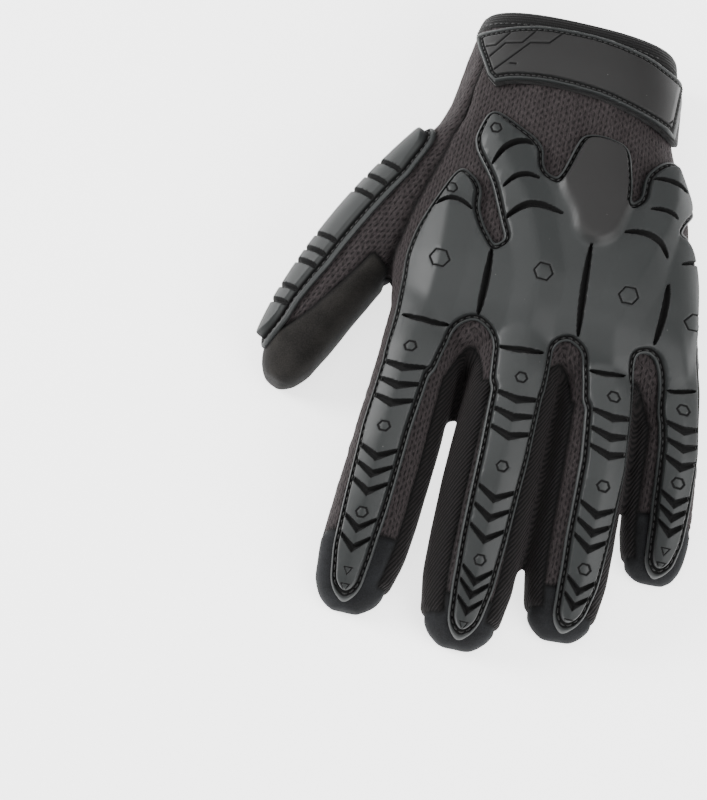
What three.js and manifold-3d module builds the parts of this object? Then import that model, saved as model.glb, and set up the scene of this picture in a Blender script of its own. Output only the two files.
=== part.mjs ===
// A left-hand impact work glove, lying palm down with its fingers along -Y and its thumb along -X.
// Units are millimetres and +Z is up off the table. Each sewn panel is a thin wall of its own, cut from
// one hollow hand form, and the moulded guards are sewn on over the back, the fingers and the thumb.

import * as THREE from 'three';
import { mergeVertices } from 'three/addons/utils/BufferGeometryUtils.js';
import Module from 'manifold-3d';

const wasm = await Module();
wasm.setup();

// Hand sizes
const BACK_LENGTH = 113;
const KNUCKLE_WIDTH = 122;
const KNUCKLE_HEIGHT = 52;
const THUMB_LENGTH = 124;
const THUMB_WIDTH = 28;
const THUMB_HEIGHT = 44;
const THUMB_YAW = 28.2;

// Cloth and moulding thicknesses
const CLOTH = 1.6;
const GAP = 0.3;
const GUARD = 4;
const FLANGE = 1.5;
const FLANGE_WIDTH = 2.6;
const GROOVE_DEPTH = 1.6;
const GROOVE_WIDTH = 2;
const STRAP = 1.8;
const PATCH = 1.6;
const PATCH_BORDER = 2.2;
const BINDING_WIDTH = 7;
const BINDING = 0.9;
const TAB_WIDTH = 9;
const TAB_LENGTH = 5;
const TAB_THICKNESS = 1.6;
const TAB_SHARE = 0.45;

// The guard leaves its mould along a line that leans this far towards the fingertips.
const MOULD_LEAN = Math.tan(THREE.MathUtils.degToRad(20));

// Each finger runs from the knuckle line, y = 0, to its tip. The root is the place of its centre line
// across the knuckles, splay is how far the tip moves sideways, and bow is a sideways curve between.
// The lean is the angle in degrees by which the guard strip sits round the side of the finger, and cap
// is the share of the length where the palm leather wraps over the tip.
const FINGERS = [
  {
    name: 'index', root: -43, length: 133, width: 34.5, height: 46, depth: 28,
    splay: -9.5, bow: 0, lean: -21, cap: 0.8,
  },
  {
    name: 'middle', root: -4.8, length: 139, width: 36, height: 50, depth: 28,
    splay: -2.5, bow: -1.5, lean: 13, cap: 0.88,
  },
  {
    name: 'ring', root: 25.4, length: 127, width: 32.5, height: 46, depth: 27,
    splay: 5.5, bow: 0.8, lean: 30, cap: 0.87,
  },
  {
    name: 'little', root: 49.8, length: 96, width: 28, height: 39, depth: 24,
    splay: 12.5, bow: 3, lean: 28, cap: 0.77,
  },
];

// Sections of the hand from the cuff to the finger roots. along is a share of BACK_LENGTH, left and
// right are shares of KNUCKLE_WIDTH, top and under are shares of KNUCKLE_HEIGHT, and skew is the
// slant of the section across the hand.
const HAND_SECTIONS = [
  { along: 1, left: -0.377, right: 0.254, top: 0.885, under: -0.05, skew: -0.015 },
  { along: 0.84, left: -0.41, right: 0.287, top: 0.923, under: -0.06, skew: -0.02 },
  { along: 0.68, left: -0.434, right: 0.3, top: 0.942, under: -0.06, skew: 0 },
  { along: 0.53, left: -0.475, right: 0.369, top: 0.962, under: -0.06, skew: 0 },
  { along: 0.4, left: -0.496, right: 0.41, top: 0.98, under: -0.06, skew: 0 },
  { along: 0.22, left: -0.516, right: 0.443, top: 1, under: -0.05, skew: 0 },
  { along: 0.04, left: -0.508, right: 0.48, top: 1.01, under: 0, skew: 0 },
  { along: -0.09, left: -0.492, right: 0.5, top: 0.99, under: 0.1, skew: 0 },
  { along: -0.2, left: -0.475, right: 0.51, top: 0.92, under: 0.22, skew: 0 },
  { along: -0.28, left: -0.467, right: 0.51, top: 0.8, under: 0.3, skew: 0 },
  { along: -0.33, left: -0.44, right: 0.48, top: 0.65, under: 0.38, skew: 0 },
];

// Sections of a finger. along is a share of its length, wide of its width, top of its height and deep
// of its depth.
const FINGER_SECTIONS = [
  { along: -0.1, wide: 0.76, top: 0.88, deep: 0.9 },
  { along: 0.12, wide: 0.9, top: 0.98, deep: 1 },
  { along: 0.25, wide: 0.93, top: 0.98, deep: 1 },
  { along: 0.4, wide: 0.96, top: 0.92, deep: 1 },
  { along: 0.55, wide: 0.99, top: 0.82, deep: 0.98 },
  { along: 0.7, wide: 1, top: 0.66, deep: 0.95 },
  { along: 0.82, wide: 0.98, top: 0.51, deep: 0.9 },
  { along: 0.92, wide: 0.86, top: 0.36, deep: 0.75 },
  { along: 0.975, wide: 0.62, top: 0.25, deep: 0.55 },
  { along: 1, wide: 0.3, top: 0.15, deep: 0.32 },
];

// Sections of the thumb, in shares of its length, width and height.
const THUMB_SECTIONS = [
  { along: -0.06, wide: 1.1, top: 0.96, under: 0.18 },
  { along: 0.13, wide: 1.08, top: 0.94, under: 0.17 },
  { along: 0.3, wide: 1.07, top: 0.9, under: 0.14 },
  { along: 0.46, wide: 1.06, top: 0.83, under: 0.1 },
  { along: 0.64, wide: 1.02, top: 0.75, under: 0.05 },
  { along: 0.79, wide: 0.95, top: 0.66, under: -0.03 },
  { along: 0.91, wide: 0.82, top: 0.55, under: -0.05 },
  { along: 0.97, wide: 0.6, top: 0.43, under: -0.02 },
  { along: 1, wide: 0.3, top: 0.32, under: 0.04 },
];

// The guard strip along a finger, and the one along the thumb: half is a share of the width, and turn
// is the share of the finger's lean that is reached there.
const STRIP_SECTIONS = [
  { along: 0, half: 0.27, turn: 0 },
  { along: 0.14, half: 0.25, turn: 0.25 },
  { along: 0.25, half: 0.21, turn: 0.7 },
  { along: 0.5, half: 0.195, turn: 1 },
  { along: 0.72, half: 0.18, turn: 0.85 },
  { along: 0.85, half: 0.16, turn: 0.8 },
  { along: 0.93, half: 0.12, turn: 0.65 },
  { along: 0.975, half: 0.04, turn: 0.5 },
];
const THUMB_STRIP_SECTIONS = [
  { along: 0.05, half: 0.12, turn: 0.75 },
  { along: 0.1, half: 0.26, turn: 0.8 },
  { along: 0.22, half: 0.32, turn: 0.9 },
  { along: 0.4, half: 0.31, turn: 1 },
  { along: 0.65, half: 0.28, turn: 1 },
  { along: 0.85, half: 0.22, turn: 1 },
  { along: 0.93, half: 0.06, turn: 0.95 },
];
const THUMB_STRIP_LEAN = -62;

// What is moulded into a finger strip: chevron grooves in groups, with a small stud before each group.
// The places are shares of the finger's length.
const STRIP_MARKS = {
  index: { studs: [0.266, 0.506, 0.746], chevrons: [0.33, 0.384, 0.436, 0.59, 0.638, 0.688, 0.79, 0.842] },
  middle: { studs: [0.286, 0.534, 0.78], chevrons: [0.348, 0.398, 0.45, 0.618, 0.67, 0.726, 0.834, 0.88] },
  ring: { studs: [0.3, 0.564, 0.802], chevrons: [0.362, 0.42, 0.474, 0.646, 0.698, 0.744, 0.862, 0.904] },
  little: { studs: [0.36, 0.632, 0.875], chevrons: [0.436, 0.504, 0.572, 0.706, 0.758, 0.812] },
};
const THUMB_GROOVES = [0.19, 0.26, 0.33, 0.52, 0.59, 0.65, 0.76, 0.825];
const STUD_RADIUS = 2;
const KNUCKLE_STUD_RADIUS = 3.7;
const STUD_DEPTH = 0.6;
const GROOVE_STEPS = 1;

// Outlines of the lobes of the knuckle plate, outside edge of the sewn flange. across is a share of
// KNUCKLE_WIDTH and along a share of BACK_LENGTH, both seen down the mould's line on the table.
const PLATE_LOBES = {
  index: [
    { across: -0.452, along: -0.085 }, { across: -0.448, along: 0.075 }, { across: -0.455, along: 0.17 },
    { across: -0.438, along: 0.273 }, { across: -0.407, along: 0.377 }, { across: -0.352, along: 0.527 },
    { across: -0.3, along: 0.5 }, { across: -0.272, along: 0.457 }, { across: -0.272, along: 0.395 },
    { across: -0.244, along: 0.33 }, { across: -0.2, along: 0.27 }, { across: -0.15, along: 0.2 },
    { across: -0.16, along: 0 }, { across: -0.2, along: -0.01 }, { across: -0.235, along: -0.006 },
    { across: -0.262, along: -0.03 }, { across: -0.272, along: -0.085 },
  ],
  middle: [
    { across: -0.135, along: -0.13 }, { across: -0.15, along: -0.06 }, { across: -0.18, along: -0.015 },
    { across: -0.21, along: 0.02 }, { across: -0.21, along: 0.26 }, { across: -0.17, along: 0.295 },
    { across: -0.191, along: 0.34 }, { across: -0.222, along: 0.42 }, { across: -0.254, along: 0.5 },
    { across: -0.336, along: 0.62 }, { across: -0.31, along: 0.735 }, { across: -0.287, along: 0.758 },
    { across: -0.258, along: 0.753 }, { across: -0.11, along: 0.675 }, { across: -0.095, along: 0.575 },
    { across: -0.03, along: 0.55 }, { across: 0.08, along: 0.5 }, { across: 0.13, along: 0 },
    { across: 0.085, along: -0.02 }, { across: 0.05, along: -0.06 }, { across: 0.035, along: -0.13 },
  ],
  boss: [
    { across: -0.1, along: 0.4 }, { across: -0.052, along: 0.555 }, { across: -0.036, along: 0.583 },
    { across: -0.004, along: 0.715 }, { across: 0.016, along: 0.74 }, { across: 0.068, along: 0.75 },
    { across: 0.143, along: 0.734 }, { across: 0.17, along: 0.7 }, { across: 0.202, along: 0.555 },
    { across: 0.23, along: 0.45 },
  ],
  ring: [
    { across: 0.165, along: -0.135 }, { across: 0.155, along: -0.07 }, { across: 0.12, along: -0.025 },
    { across: 0.09, along: 0 }, { across: 0.09, along: 0.48 }, { across: 0.228, along: 0.527 },
    { across: 0.225, along: 0.63 }, { across: 0.25, along: 0.672 }, { across: 0.279, along: 0.702 },
    { across: 0.316, along: 0.706 }, { across: 0.344, along: 0.66 }, { across: 0.393, along: 0.574 },
    { across: 0.407, along: 0.527 }, { across: 0.377, along: 0.47 }, { across: 0.353, along: 0.3 },
    { across: 0.345, along: 0.2 }, { across: 0.37, along: 0.02 }, { across: 0.335, along: 0 },
    { across: 0.31, along: -0.06 }, { across: 0.305, along: -0.135 },
  ],
  little: [
    { across: 0.405, along: -0.14 }, { across: 0.395, along: -0.05 }, { across: 0.37, along: 0 },
    { across: 0.33, along: 0.02 }, { across: 0.33, along: 0.22 }, { across: 0.356, along: 0.43 },
    { across: 0.385, along: 0.458 }, { across: 0.421, along: 0.405 }, { across: 0.448, along: 0.32 },
    { across: 0.465, along: 0.25 }, { across: 0.5, along: 0.04 }, { across: 0.52, along: -0.06 },
    { across: 0.535, along: -0.14 },
  ],
};

// Grooves between and across the lobes, each a shallow crescent from x0, y0 through xm, ym to x1, y1.
const PLATE_GROOVES = [
  { x0: -0.198, y0: 0.235, xm: -0.202, ym: 0.13, x1: -0.207, y1: 0.02 },
  { x0: 0.1, y0: 0.345, xm: 0.108, ym: 0.19, x1: 0.116, y1: 0.02 },
  { x0: 0.363, y0: 0.24, xm: 0.362, ym: 0.14, x1: 0.36, y1: 0.035 },
  { x0: -0.4, y0: 0.36, xm: -0.347, ym: 0.394, x1: -0.289, y1: 0.372 },
  { x0: -0.256, y0: 0.549, xm: -0.2, ym: 0.645, x1: -0.124, y1: 0.654 },
  { x0: -0.209, y0: 0.475, xm: -0.16, ym: 0.53, x1: -0.102, y1: 0.535 },
  { x0: -0.185, y0: 0.36, xm: -0.11, ym: 0.43, x1: -0.006, y1: 0.425 },
  { x0: 0.244, y0: 0.62, xm: 0.298, ym: 0.618, x1: 0.348, y1: 0.589 },
  { x0: 0.257, y0: 0.508, xm: 0.302, ym: 0.51, x1: 0.34, y1: 0.487 },
  { x0: 0.194, y0: 0.406, xm: 0.275, ym: 0.408, x1: 0.338, y1: 0.339 },
  { x0: 0.381, y0: 0.327, xm: 0.414, ym: 0.342, x1: 0.445, y1: 0.331 },
  { x0: -0.432, y0: -0.061, xm: -0.36, ym: -0.068, x1: -0.288, y1: -0.055 },
  { x0: -0.116, y0: -0.1, xm: -0.047, ym: -0.102, x1: 0.017, y1: -0.09 },
  { x0: 0.182, y0: -0.114, xm: 0.235, ym: -0.119, x1: 0.286, y1: -0.107 },
  { x0: 0.428, y0: -0.118, xm: 0.469, ym: -0.123, x1: 0.51, y1: -0.113 },
];

// Studs on the plate: one large one over each knuckle.
const PLATE_STUDS = [
  { across: -0.352, along: 0.17 }, { across: -0.03, along: 0.198 }, { across: 0.246, along: 0.175 },
  { across: 0.454, along: 0.126 },
];

// Outline of the wrist strap across the back, seen down the same line. Its free end is on the thumb
// side, and it runs down the little finger's side to the seam that holds it.
const STRAP_OUTLINE = [
  { across: -0.385, along: 1.0 }, { across: -0.25, along: 1.068 }, { across: -0.09, along: 1.105 },
  { across: 0.1, along: 1.072 }, { across: 0.25, along: 1 }, { across: 0.4, along: 0.9 },
  { across: 0.4, along: 0.7 }, { across: 0.28, along: 0.79 }, { across: 0.15, along: 0.86 },
  { across: 0, along: 0.895 }, { across: -0.16, along: 0.9 }, { across: -0.31, along: 0.872 },
];
const STRAP_LOW_LEFT = 27;
const STRAP_LOW_RIGHT = 9;
const PATCH_LOW = 26;
const PATCH_RIGHT_END = 0.285;

// Seam between the back and the thumb's knit panel: across the back on top, and on the palm below.
const THUMB_SEAM = [
  { along: 1.1, top: -0.33, palm: -0.4 },
  { along: 0.78, top: -0.35, palm: -0.41 },
  { along: 0.62, top: -0.395, palm: -0.36 },
  { along: 0.45, top: -0.44, palm: -0.345 },
  { along: 0.22, top: -0.5, palm: -0.42 },
  { along: 0.05, top: -0.517, palm: -0.505 },
  { along: -0.05, top: -0.52, palm: -0.515 },
  { along: -0.2, top: -0.55, palm: -0.55 },
  { along: -0.6, top: -0.6, palm: -0.6 },
];

// Numbers of sides round the sections, and how square the sections are.
const HAND_SIDES = 20;
const FINGER_SIDES = 12;
const SQUARENESS = 2.5;
const REACH = 400;
const CUTTER = 12;
const WELD = 0.01;

const FIRST = 0;

// Value of one column of a table at a share, on straight lines between its rows.
function column(table, name, along) {
  const rows = [...table].sort((a, b) => a.along - b.along);
  const inside = THREE.MathUtils.clamp(along, rows[FIRST].along, rows.at(-1).along);
  const next = Math.max(1, rows.findIndex((row) => row.along >= inside));
  const low = rows[next - 1];
  const high = rows[next];
  return THREE.MathUtils.mapLinear(inside, low.along, high.along, low[name], high[name]);
}

// The places of the finger sections between two shares of its length, with both ends.
function stopsBetween(start, end) {
  const between = FINGER_SECTIONS.map((row) => row.along).filter((along) => along > start && along < end);
  return [start, ...between, end];
}

// Closed geometry through rings of points, with a fan at each end.
function loft(rings) {
  const sides = rings[FIRST].length;
  const points = rings.flat();
  const middle = (ring) => ring.reduce((sum, p) => sum.add(p), new THREE.Vector3()).divideScalar(sides);
  const start = points.push(middle(rings[FIRST])) - 1;
  const end = points.push(middle(rings.at(-1))) - 1;
  const faces = [];
  for (let side = 0; side < sides; side++) {
    const next = (side + 1) % sides;
    for (let ring = 0; ring < rings.length - 1; ring++) {
      const a = ring * sides + side;
      const b = ring * sides + next;
      faces.push(a, a + sides, b, b, a + sides, b + sides);
    }
    const last = (rings.length - 1) * sides;
    faces.push(start, side, next, end, last + next, last + side);
  }
  const geometry = new THREE.BufferGeometry().setFromPoints(points);
  geometry.setIndex(faces);
  return geometry;
}

// Solid of a closed geometry, turned inside out if its faces point in.
function solid(geometry) {
  const bare = geometry.clone();
  bare.deleteAttribute('normal');
  bare.deleteAttribute('uv');
  const merged = mergeVertices(bare, 1e-5);
  const corners = merged.attributes.position.array;
  const faces = Uint32Array.from(merged.index.array);
  const at = (i) => new THREE.Vector3().fromArray(corners, 3 * i);
  let volume = 0;
  for (let f = 0; f < faces.length; f += 3) {
    volume += at(faces[f]).dot(at(faces[f + 1]).cross(at(faces[f + 2])));
  }
  if (volume < 0) faces.reverse();
  return new wasm.Manifold(new wasm.Mesh({ numProp: 3, vertProperties: corners, triVerts: faces }));
}

const union = (solids) => solids.reduce((all, one) => all.add(one));

// One rounded section at y, grown by a margin and flattened where it meets the table.
function section(place, margin, sides) {
  const floor = Math.max(0, -margin);
  const middle = (place.top + place.under) / 2;
  const rise = Math.max(0.5, (place.top - place.under) / 2 + margin);
  const half = Math.max(0.5, place.half + margin);
  const power = 2 / SQUARENESS;
  const ring = [];
  for (let side = 0; side < sides; side++) {
    const angle = (2 * Math.PI * side) / sides;
    const across = half * Math.sign(Math.cos(angle)) * Math.abs(Math.cos(angle)) ** power;
    const up = rise * Math.sign(Math.sin(angle)) * Math.abs(Math.sin(angle)) ** power;
    const y = place.y + place.skew * across;
    ring.push(new THREE.Vector3(place.x + across, y, Math.max(floor, middle + up)));
  }
  return ring;
}

// A row of sections as a solid. The far end moves out with the margin, and a cavity also runs out past
// the near end by the given length.
function form(places, margin, sides, overrun = 0) {
  const ends = places.map((place) => ({ ...place }));
  ends.at(-1).y -= margin;
  if (overrun) ends.unshift({ ...ends[FIRST], y: ends[FIRST].y + overrun });
  return solid(loft(ends.map((place) => section(place, margin, sides))));
}

function handAt(row) {
  const left = row.left * KNUCKLE_WIDTH;
  const right = row.right * KNUCKLE_WIDTH;
  return {
    x: (left + right) / 2, y: row.along * BACK_LENGTH, half: (right - left) / 2, skew: row.skew,
    top: row.top * KNUCKLE_HEIGHT, under: row.under * KNUCKLE_HEIGHT,
  };
}

function fingerAt(finger, along) {
  const top = column(FINGER_SECTIONS, 'top', along) * finger.height;
  const share = Math.max(0, along);
  const x = finger.root + finger.splay * share ** 1.6 + finger.bow * Math.sin(Math.PI * share);
  return {
    x, y: -along * finger.length, skew: 0, top,
    half: (column(FINGER_SECTIONS, 'wide', along) * finger.width) / 2,
    under: top - column(FINGER_SECTIONS, 'deep', along) * finger.depth,
  };
}

// The thumb is laid out along -Y from its own root and then turned out from the hand.
const THUMB_ROOT = new THREE.Vector3(-0.328 * KNUCKLE_WIDTH, 0.549 * BACK_LENGTH, 0);
const THUMB_BOW = -0.036;
const thumbPlace = new THREE.Matrix4()
  .makeTranslation(THUMB_ROOT)
  .multiply(new THREE.Matrix4().makeRotationZ(THREE.MathUtils.degToRad(-THUMB_YAW)));

function thumbAt(along) {
  return {
    x: THUMB_BOW * THUMB_LENGTH * Math.sin(Math.PI * Math.max(0, along)), y: -along * THUMB_LENGTH,
    half: (column(THUMB_SECTIONS, 'wide', along) * THUMB_WIDTH) / 2, skew: 0,
    top: column(THUMB_SECTIONS, 'top', along) * THUMB_HEIGHT,
    under: column(THUMB_SECTIONS, 'under', along) * THUMB_HEIGHT,
  };
}

const handForm = (margin, overrun) => form(HAND_SECTIONS.map(handAt), margin, HAND_SIDES, overrun);
const fingerForm = (finger, margin) =>
  form(FINGER_SECTIONS.map((row) => fingerAt(finger, row.along)), margin, FINGER_SIDES);
const thumbForm = (margin) =>
  form(THUMB_SECTIONS.map((row) => thumbAt(row.along)), margin, FINGER_SIDES).transform(thumbPlace.elements);
const gloveForm = (margin, overrun) => union([
  handForm(margin, overrun), thumbForm(margin), ...FINGERS.map((finger) => fingerForm(finger, margin)),
]);

// A solid through four-cornered sections, each given as points of x and z at one y.
function slab(sections) {
  return solid(loft(sections.map(({ y, corners }) => corners.map(([x, z]) => new THREE.Vector3(x, y, z)))));
}

// A solid standing on an outline of x and y points on the table, sheared along the mould's line.
function mouldPrism(points, low, high) {
  const shape = new THREE.Shape(points.map((p) => new THREE.Vector2(p.x, p.y)));
  const geometry = new THREE.ExtrudeGeometry(shape, { depth: high - low, bevelEnabled: false });
  const lean = new THREE.Matrix4().set(1, 0, 0, 0, 0, 1, -MOULD_LEAN, 0, 0, 0, 1, 0, 0, 0, 0, 1);
  geometry.translate(0, 0, low).applyMatrix4(lean);
  return solid(geometry);
}

// An outline drawn in by a distance, corner by corner.
function inset(points, distance) {
  const turn = Math.sign(THREE.ShapeUtils.area(points));
  return points.map((point, i) => {
    const before = points.at(i - 1);
    const after = points[(i + 1) % points.length];
    const side = (a, b) => new THREE.Vector2(a.y - b.y, b.x - a.x).normalize().multiplyScalar(turn);
    const bisector = side(before, point).add(side(point, after));
    const reach = distance / Math.max(0.5, bisector.lengthSq() / 2);
    return point.clone().addScaledVector(bisector, reach);
  });
}

const onBack = ({ across, along }) => new THREE.Vector2(across * KNUCKLE_WIDTH, along * BACK_LENGTH);

// The hollow glove, up to the bound edge of its cuff.
const outside = gloveForm(0);
const cavity = gloveForm(-CLOTH, REACH / 10);
const shell = outside.subtract(cavity);
const cuffEnd = HAND_SECTIONS[FIRST];
function behindCuffLine(distance) {
  const edge = handAt(cuffEnd);
  const geometry = new THREE.BoxGeometry(REACH, REACH, REACH);
  geometry.translate(0, edge.y - distance + REACH / 2, 0);
  const { skew } = cuffEnd;
  const slant = new THREE.Matrix4().set(1, 0, 0, 0, skew, 1, 0, -skew * edge.x, 0, 0, 1, 0, 0, 0, 0, 1);
  return solid(geometry.applyMatrix4(slant));
}
const cloth = shell.subtract(behindCuffLine(BINDING_WIDTH));

// Space above the side seams: over the hand, and over each finger as far as its leather tip.
const CROTCH = -0.3;
const SEAM_ROWS = [
  { along: 1.2, left: 0.38, right: 0.38 }, { along: 0.35, left: 0.38, right: 0.38 },
  { along: 0, left: 0.48, right: 0.42 },
];
function aboveSeams(offset) {
  const [index, , , little] = FINGERS;
  const seamOf = (finger) => {
    const place = fingerAt(finger, (-CROTCH * BACK_LENGTH) / finger.length);
    return (place.top + place.under) / 2 / KNUCKLE_HEIGHT;
  };
  const rows = [...SEAM_ROWS, { along: CROTCH, left: seamOf(index), right: seamOf(little) }];
  const overHand = slab(rows.map(({ along, left, right }) => ({
    y: along * BACK_LENGTH,
    corners: [
      [-KNUCKLE_WIDTH, left * KNUCKLE_HEIGHT + offset], [KNUCKLE_WIDTH, right * KNUCKLE_HEIGHT + offset],
      [KNUCKLE_WIDTH, REACH], [-KNUCKLE_WIDTH, REACH],
    ],
  })));
  const overFingers = FINGERS.map((finger) => {
    const start = (-CROTCH * BACK_LENGTH - CLOTH) / finger.length;
    return slab(stopsBetween(start, finger.cap - offset / finger.length).map((along) => {
      const { x, y, half, top, under } = fingerAt(finger, along);
      const seam = (top + under) / 2 + offset;
      const edge = half + GAP;
      return { y, corners: [[x - edge, seam], [x + edge, seam], [x + edge, REACH], [x - edge, REACH]] };
    }));
  });
  return union([overHand, ...overFingers]);
}

// Space of the strip between two neighbouring fingers: down the side of each, and round the crotch.
const WALL_LOW = 0.6;
const WALL_HIGH = 0.76;
const WALL_IN = 0.35;
const WALL_END = 0.93;
const WALL_START = 0.22;
const CROTCH_END = 0.37;
function wallAt(finger, along, side, offset) {
  const { x, y, half, top, under } = fingerAt(finger, along);
  const middle = (top + under) / 2;
  const rise = (top - under) / 2;
  return {
    y, near: x + side * (WALL_IN * half - offset), far: x + side * (half + GAP),
    low: middle - WALL_LOW * rise - offset, high: middle + WALL_HIGH * rise + offset,
  };
}
function sideWall(finger, side, offset) {
  const start = (WALL_START * BACK_LENGTH - offset) / finger.length;
  return slab(stopsBetween(start, WALL_END + offset / finger.length).map((along) => {
    const { y, near, far, low, high } = wallAt(finger, along, side, offset);
    return { y, corners: [[near, low], [far, low], [far, high], [near, high]] };
  }));
}
function betweenFingers(left, right, offset) {
  const crotch = slab([WALL_START * BACK_LENGTH - offset, CROTCH_END * BACK_LENGTH].map((reach) => {
    const a = wallAt(left, reach / left.length, 1, offset);
    const b = wallAt(right, reach / right.length, -1, offset);
    return { y: -reach, corners: [[a.near, a.low], [b.near, b.low], [b.near, b.high], [a.near, a.high]] };
  }));
  return union([crotch, sideWall(left, 1, offset), sideWall(right, -1, offset)]);
}

// Space on the thumb's side of the hand.
function thumbSide(offset) {
  return slab(THUMB_SEAM.map(({ along, top, palm }) => ({
    y: along * BACK_LENGTH,
    corners: [
      [-REACH, -REACH / 10], [palm * KNUCKLE_WIDTH + offset, -REACH / 10],
      [top * KNUCKLE_WIDTH + offset, KNUCKLE_HEIGHT * 1.2], [-REACH, KNUCKLE_HEIGHT * 1.2],
    ],
  })));
}

// Space of the thumb's leather: past a line across its root, on the index side and underneath.
const LEATHER_START = 0.52;
const LEATHER_TILT = THREE.MathUtils.degToRad(40);
const LEATHER_SHARE = -0.42;
function thumbLeather(offset) {
  const geometry = new THREE.BoxGeometry(REACH, REACH, REACH);
  geometry.translate(REACH / 2, 0, 0).rotateY(LEATHER_TILT);
  const axis = thumbAt(LEATHER_START);
  const middle = (axis.top + axis.under) / 2;
  const shift = LEATHER_SHARE * axis.half - offset;
  geometry.translate(shift * Math.cos(LEATHER_TILT), 0, -shift * Math.sin(LEATHER_TILT));
  geometry.translate(axis.x, axis.y + offset - REACH / 2, middle);
  return solid(geometry).transform(thumbPlace.elements);
}

// Cloth and leather panels, with half of the seam gap taken from each side.
const HALF_GAP = GAP / 2;
const neighbours = [[FINGERS[0], FINGERS[1]], [FINGERS[1], FINGERS[2]], [FINGERS[2], FINGERS[3]]];
const fourchettes = neighbours.map(([left, right]) => ({
  name: `fourchette_${left.name}_${right.name}`,
  body: cloth.intersect(betweenFingers(left, right, -HALF_GAP)).subtract(thumbSide(HALF_GAP)),
}));
const wallSpace = union(neighbours.map(([left, right]) => betweenFingers(left, right, HALF_GAP)));
const handCloth = cloth.subtract(thumbSide(HALF_GAP)).subtract(wallSpace);
const backPanel = handCloth.intersect(aboveSeams(HALF_GAP));
const palmPanel = handCloth.subtract(aboveSeams(-HALF_GAP));
const thumbCloth = cloth.intersect(thumbSide(-HALF_GAP));
const thumbPalm = thumbCloth.intersect(thumbLeather(-HALF_GAP));
const thumbBack = thumbCloth.subtract(thumbLeather(HALF_GAP));

// The elastic edge of the cuff is a little thicker than the cloth.
const binding = handForm(BINDING).subtract(handForm(-CLOTH, REACH / 10))
  .intersect(behindCuffLine(BINDING_WIDTH - GAP));

// Moulded guards. Each has a thin flange that is sewn down and a thick body inside it.
const clothAndGap = gloveForm(GAP);
const plateOutlines = Object.values(PLATE_LOBES).map((rows) => rows.map(onBack));
const plateLow = 0.42 * KNUCKLE_HEIGHT;
const plateHigh = 1.6 * KNUCKLE_HEIGHT;
const flatPlate = (distance) =>
  union(plateOutlines.map((outline) => mouldPrism(inset(outline, distance), plateLow, plateHigh)));
const plateFlange = handForm(GAP + FLANGE).intersect(flatPlate(0));
const plateBody = handForm(GAP + GUARD).intersect(flatPlate(FLANGE_WIDTH));

// Space over a strip of one finger or of the thumb, widened by a border. It starts at this height over
// the middle of the finger and ends outside it.
const CORE = 2;
const OVER = REACH / 8;
function stripSpace(at, table, lean, width, border) {
  return slab(table.map(({ along, half, turn }, i) => {
    const { x, y, top, under } = at(along);
    const angle = THREE.MathUtils.degToRad(lean * turn);
    const out = new THREE.Vector2(Math.sin(angle), Math.cos(angle));
    const across = new THREE.Vector2(Math.cos(angle), -Math.sin(angle));
    const middle = new THREE.Vector2(x, (top + under) / 2);
    const reach = half * width + border;
    const corner = (side, far) =>
      middle.clone().addScaledVector(out, far).addScaledVector(across, side * reach).toArray();
    const end = i === table.length - 1 ? y - border : y;
    return { y: end, corners: [corner(-1, CORE), corner(1, CORE), corner(1, OVER), corner(-1, OVER)] };
  }));
}

// Moves a cutter from the origin to the middle of a strip, with its foot this deep in the moulding.
function sink(geometry, at, table, lean, along, depth) {
  const { x, y, half, top, under } = at(along);
  const angle = THREE.MathUtils.degToRad(lean * column(table, 'turn', along));
  const rise = (top - under) / 2;
  const sideways = Math.abs(Math.sin(angle) / half) ** SQUARENESS;
  const upward = Math.abs(Math.cos(angle) / rise) ** SQUARENESS;
  const surface = (sideways + upward) ** (-1 / SQUARENESS) + GAP + GUARD;
  return geometry.translate(0, 0, surface - depth).rotateY(angle).translate(x, y, (top + under) / 2);
}

// A chevron groove across a strip, pointing to the tip.
function chevron(at, table, lean, width, along, point) {
  const reach = column(table, 'half', along) * width + GROOVE_WIDTH;
  const rise = reach * Math.tan(point);
  const shape = new THREE.Shape()
    .moveTo(-reach, rise).lineTo(0, 0).lineTo(reach, rise)
    .lineTo(reach, rise + GROOVE_WIDTH).lineTo(0, GROOVE_WIDTH).lineTo(-reach, rise + GROOVE_WIDTH);
  const geometry = new THREE.ExtrudeGeometry(shape, { depth: CUTTER, bevelEnabled: false });
  return solid(sink(geometry, at, table, lean, along, GROOVE_DEPTH));
}

// A six-sided stud mark, sunk into the moulding.
function studMark(at, table, lean, along) {
  const geometry = new THREE.CylinderGeometry(STUD_RADIUS, STUD_RADIUS, CUTTER, 6);
  geometry.rotateX(Math.PI / 2).translate(0, 0, CUTTER / 2);
  return solid(sink(geometry, at, table, lean, along, STUD_DEPTH));
}

const CHEVRON_POINT = THREE.MathUtils.degToRad(18);
const fingerStrips = FINGERS.map((finger) => {
  const at = (along) => fingerAt(finger, along);
  const space = (border) => stripSpace(at, STRIP_SECTIONS, finger.lean, finger.width, border);
  const marks = STRIP_MARKS[finger.name];
  const studs = marks.studs.map((along) => studMark(at, STRIP_SECTIONS, finger.lean, along));
  const grooves = marks.chevrons.map((along) =>
    chevron(at, STRIP_SECTIONS, finger.lean, finger.width, along, CHEVRON_POINT));
  const raised = fingerForm(finger, GAP + GUARD).intersect(space(0)).subtract(union([...grooves, ...studs]));
  return fingerForm(finger, GAP + FLANGE).intersect(space(FLANGE_WIDTH)).add(raised);
});

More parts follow.
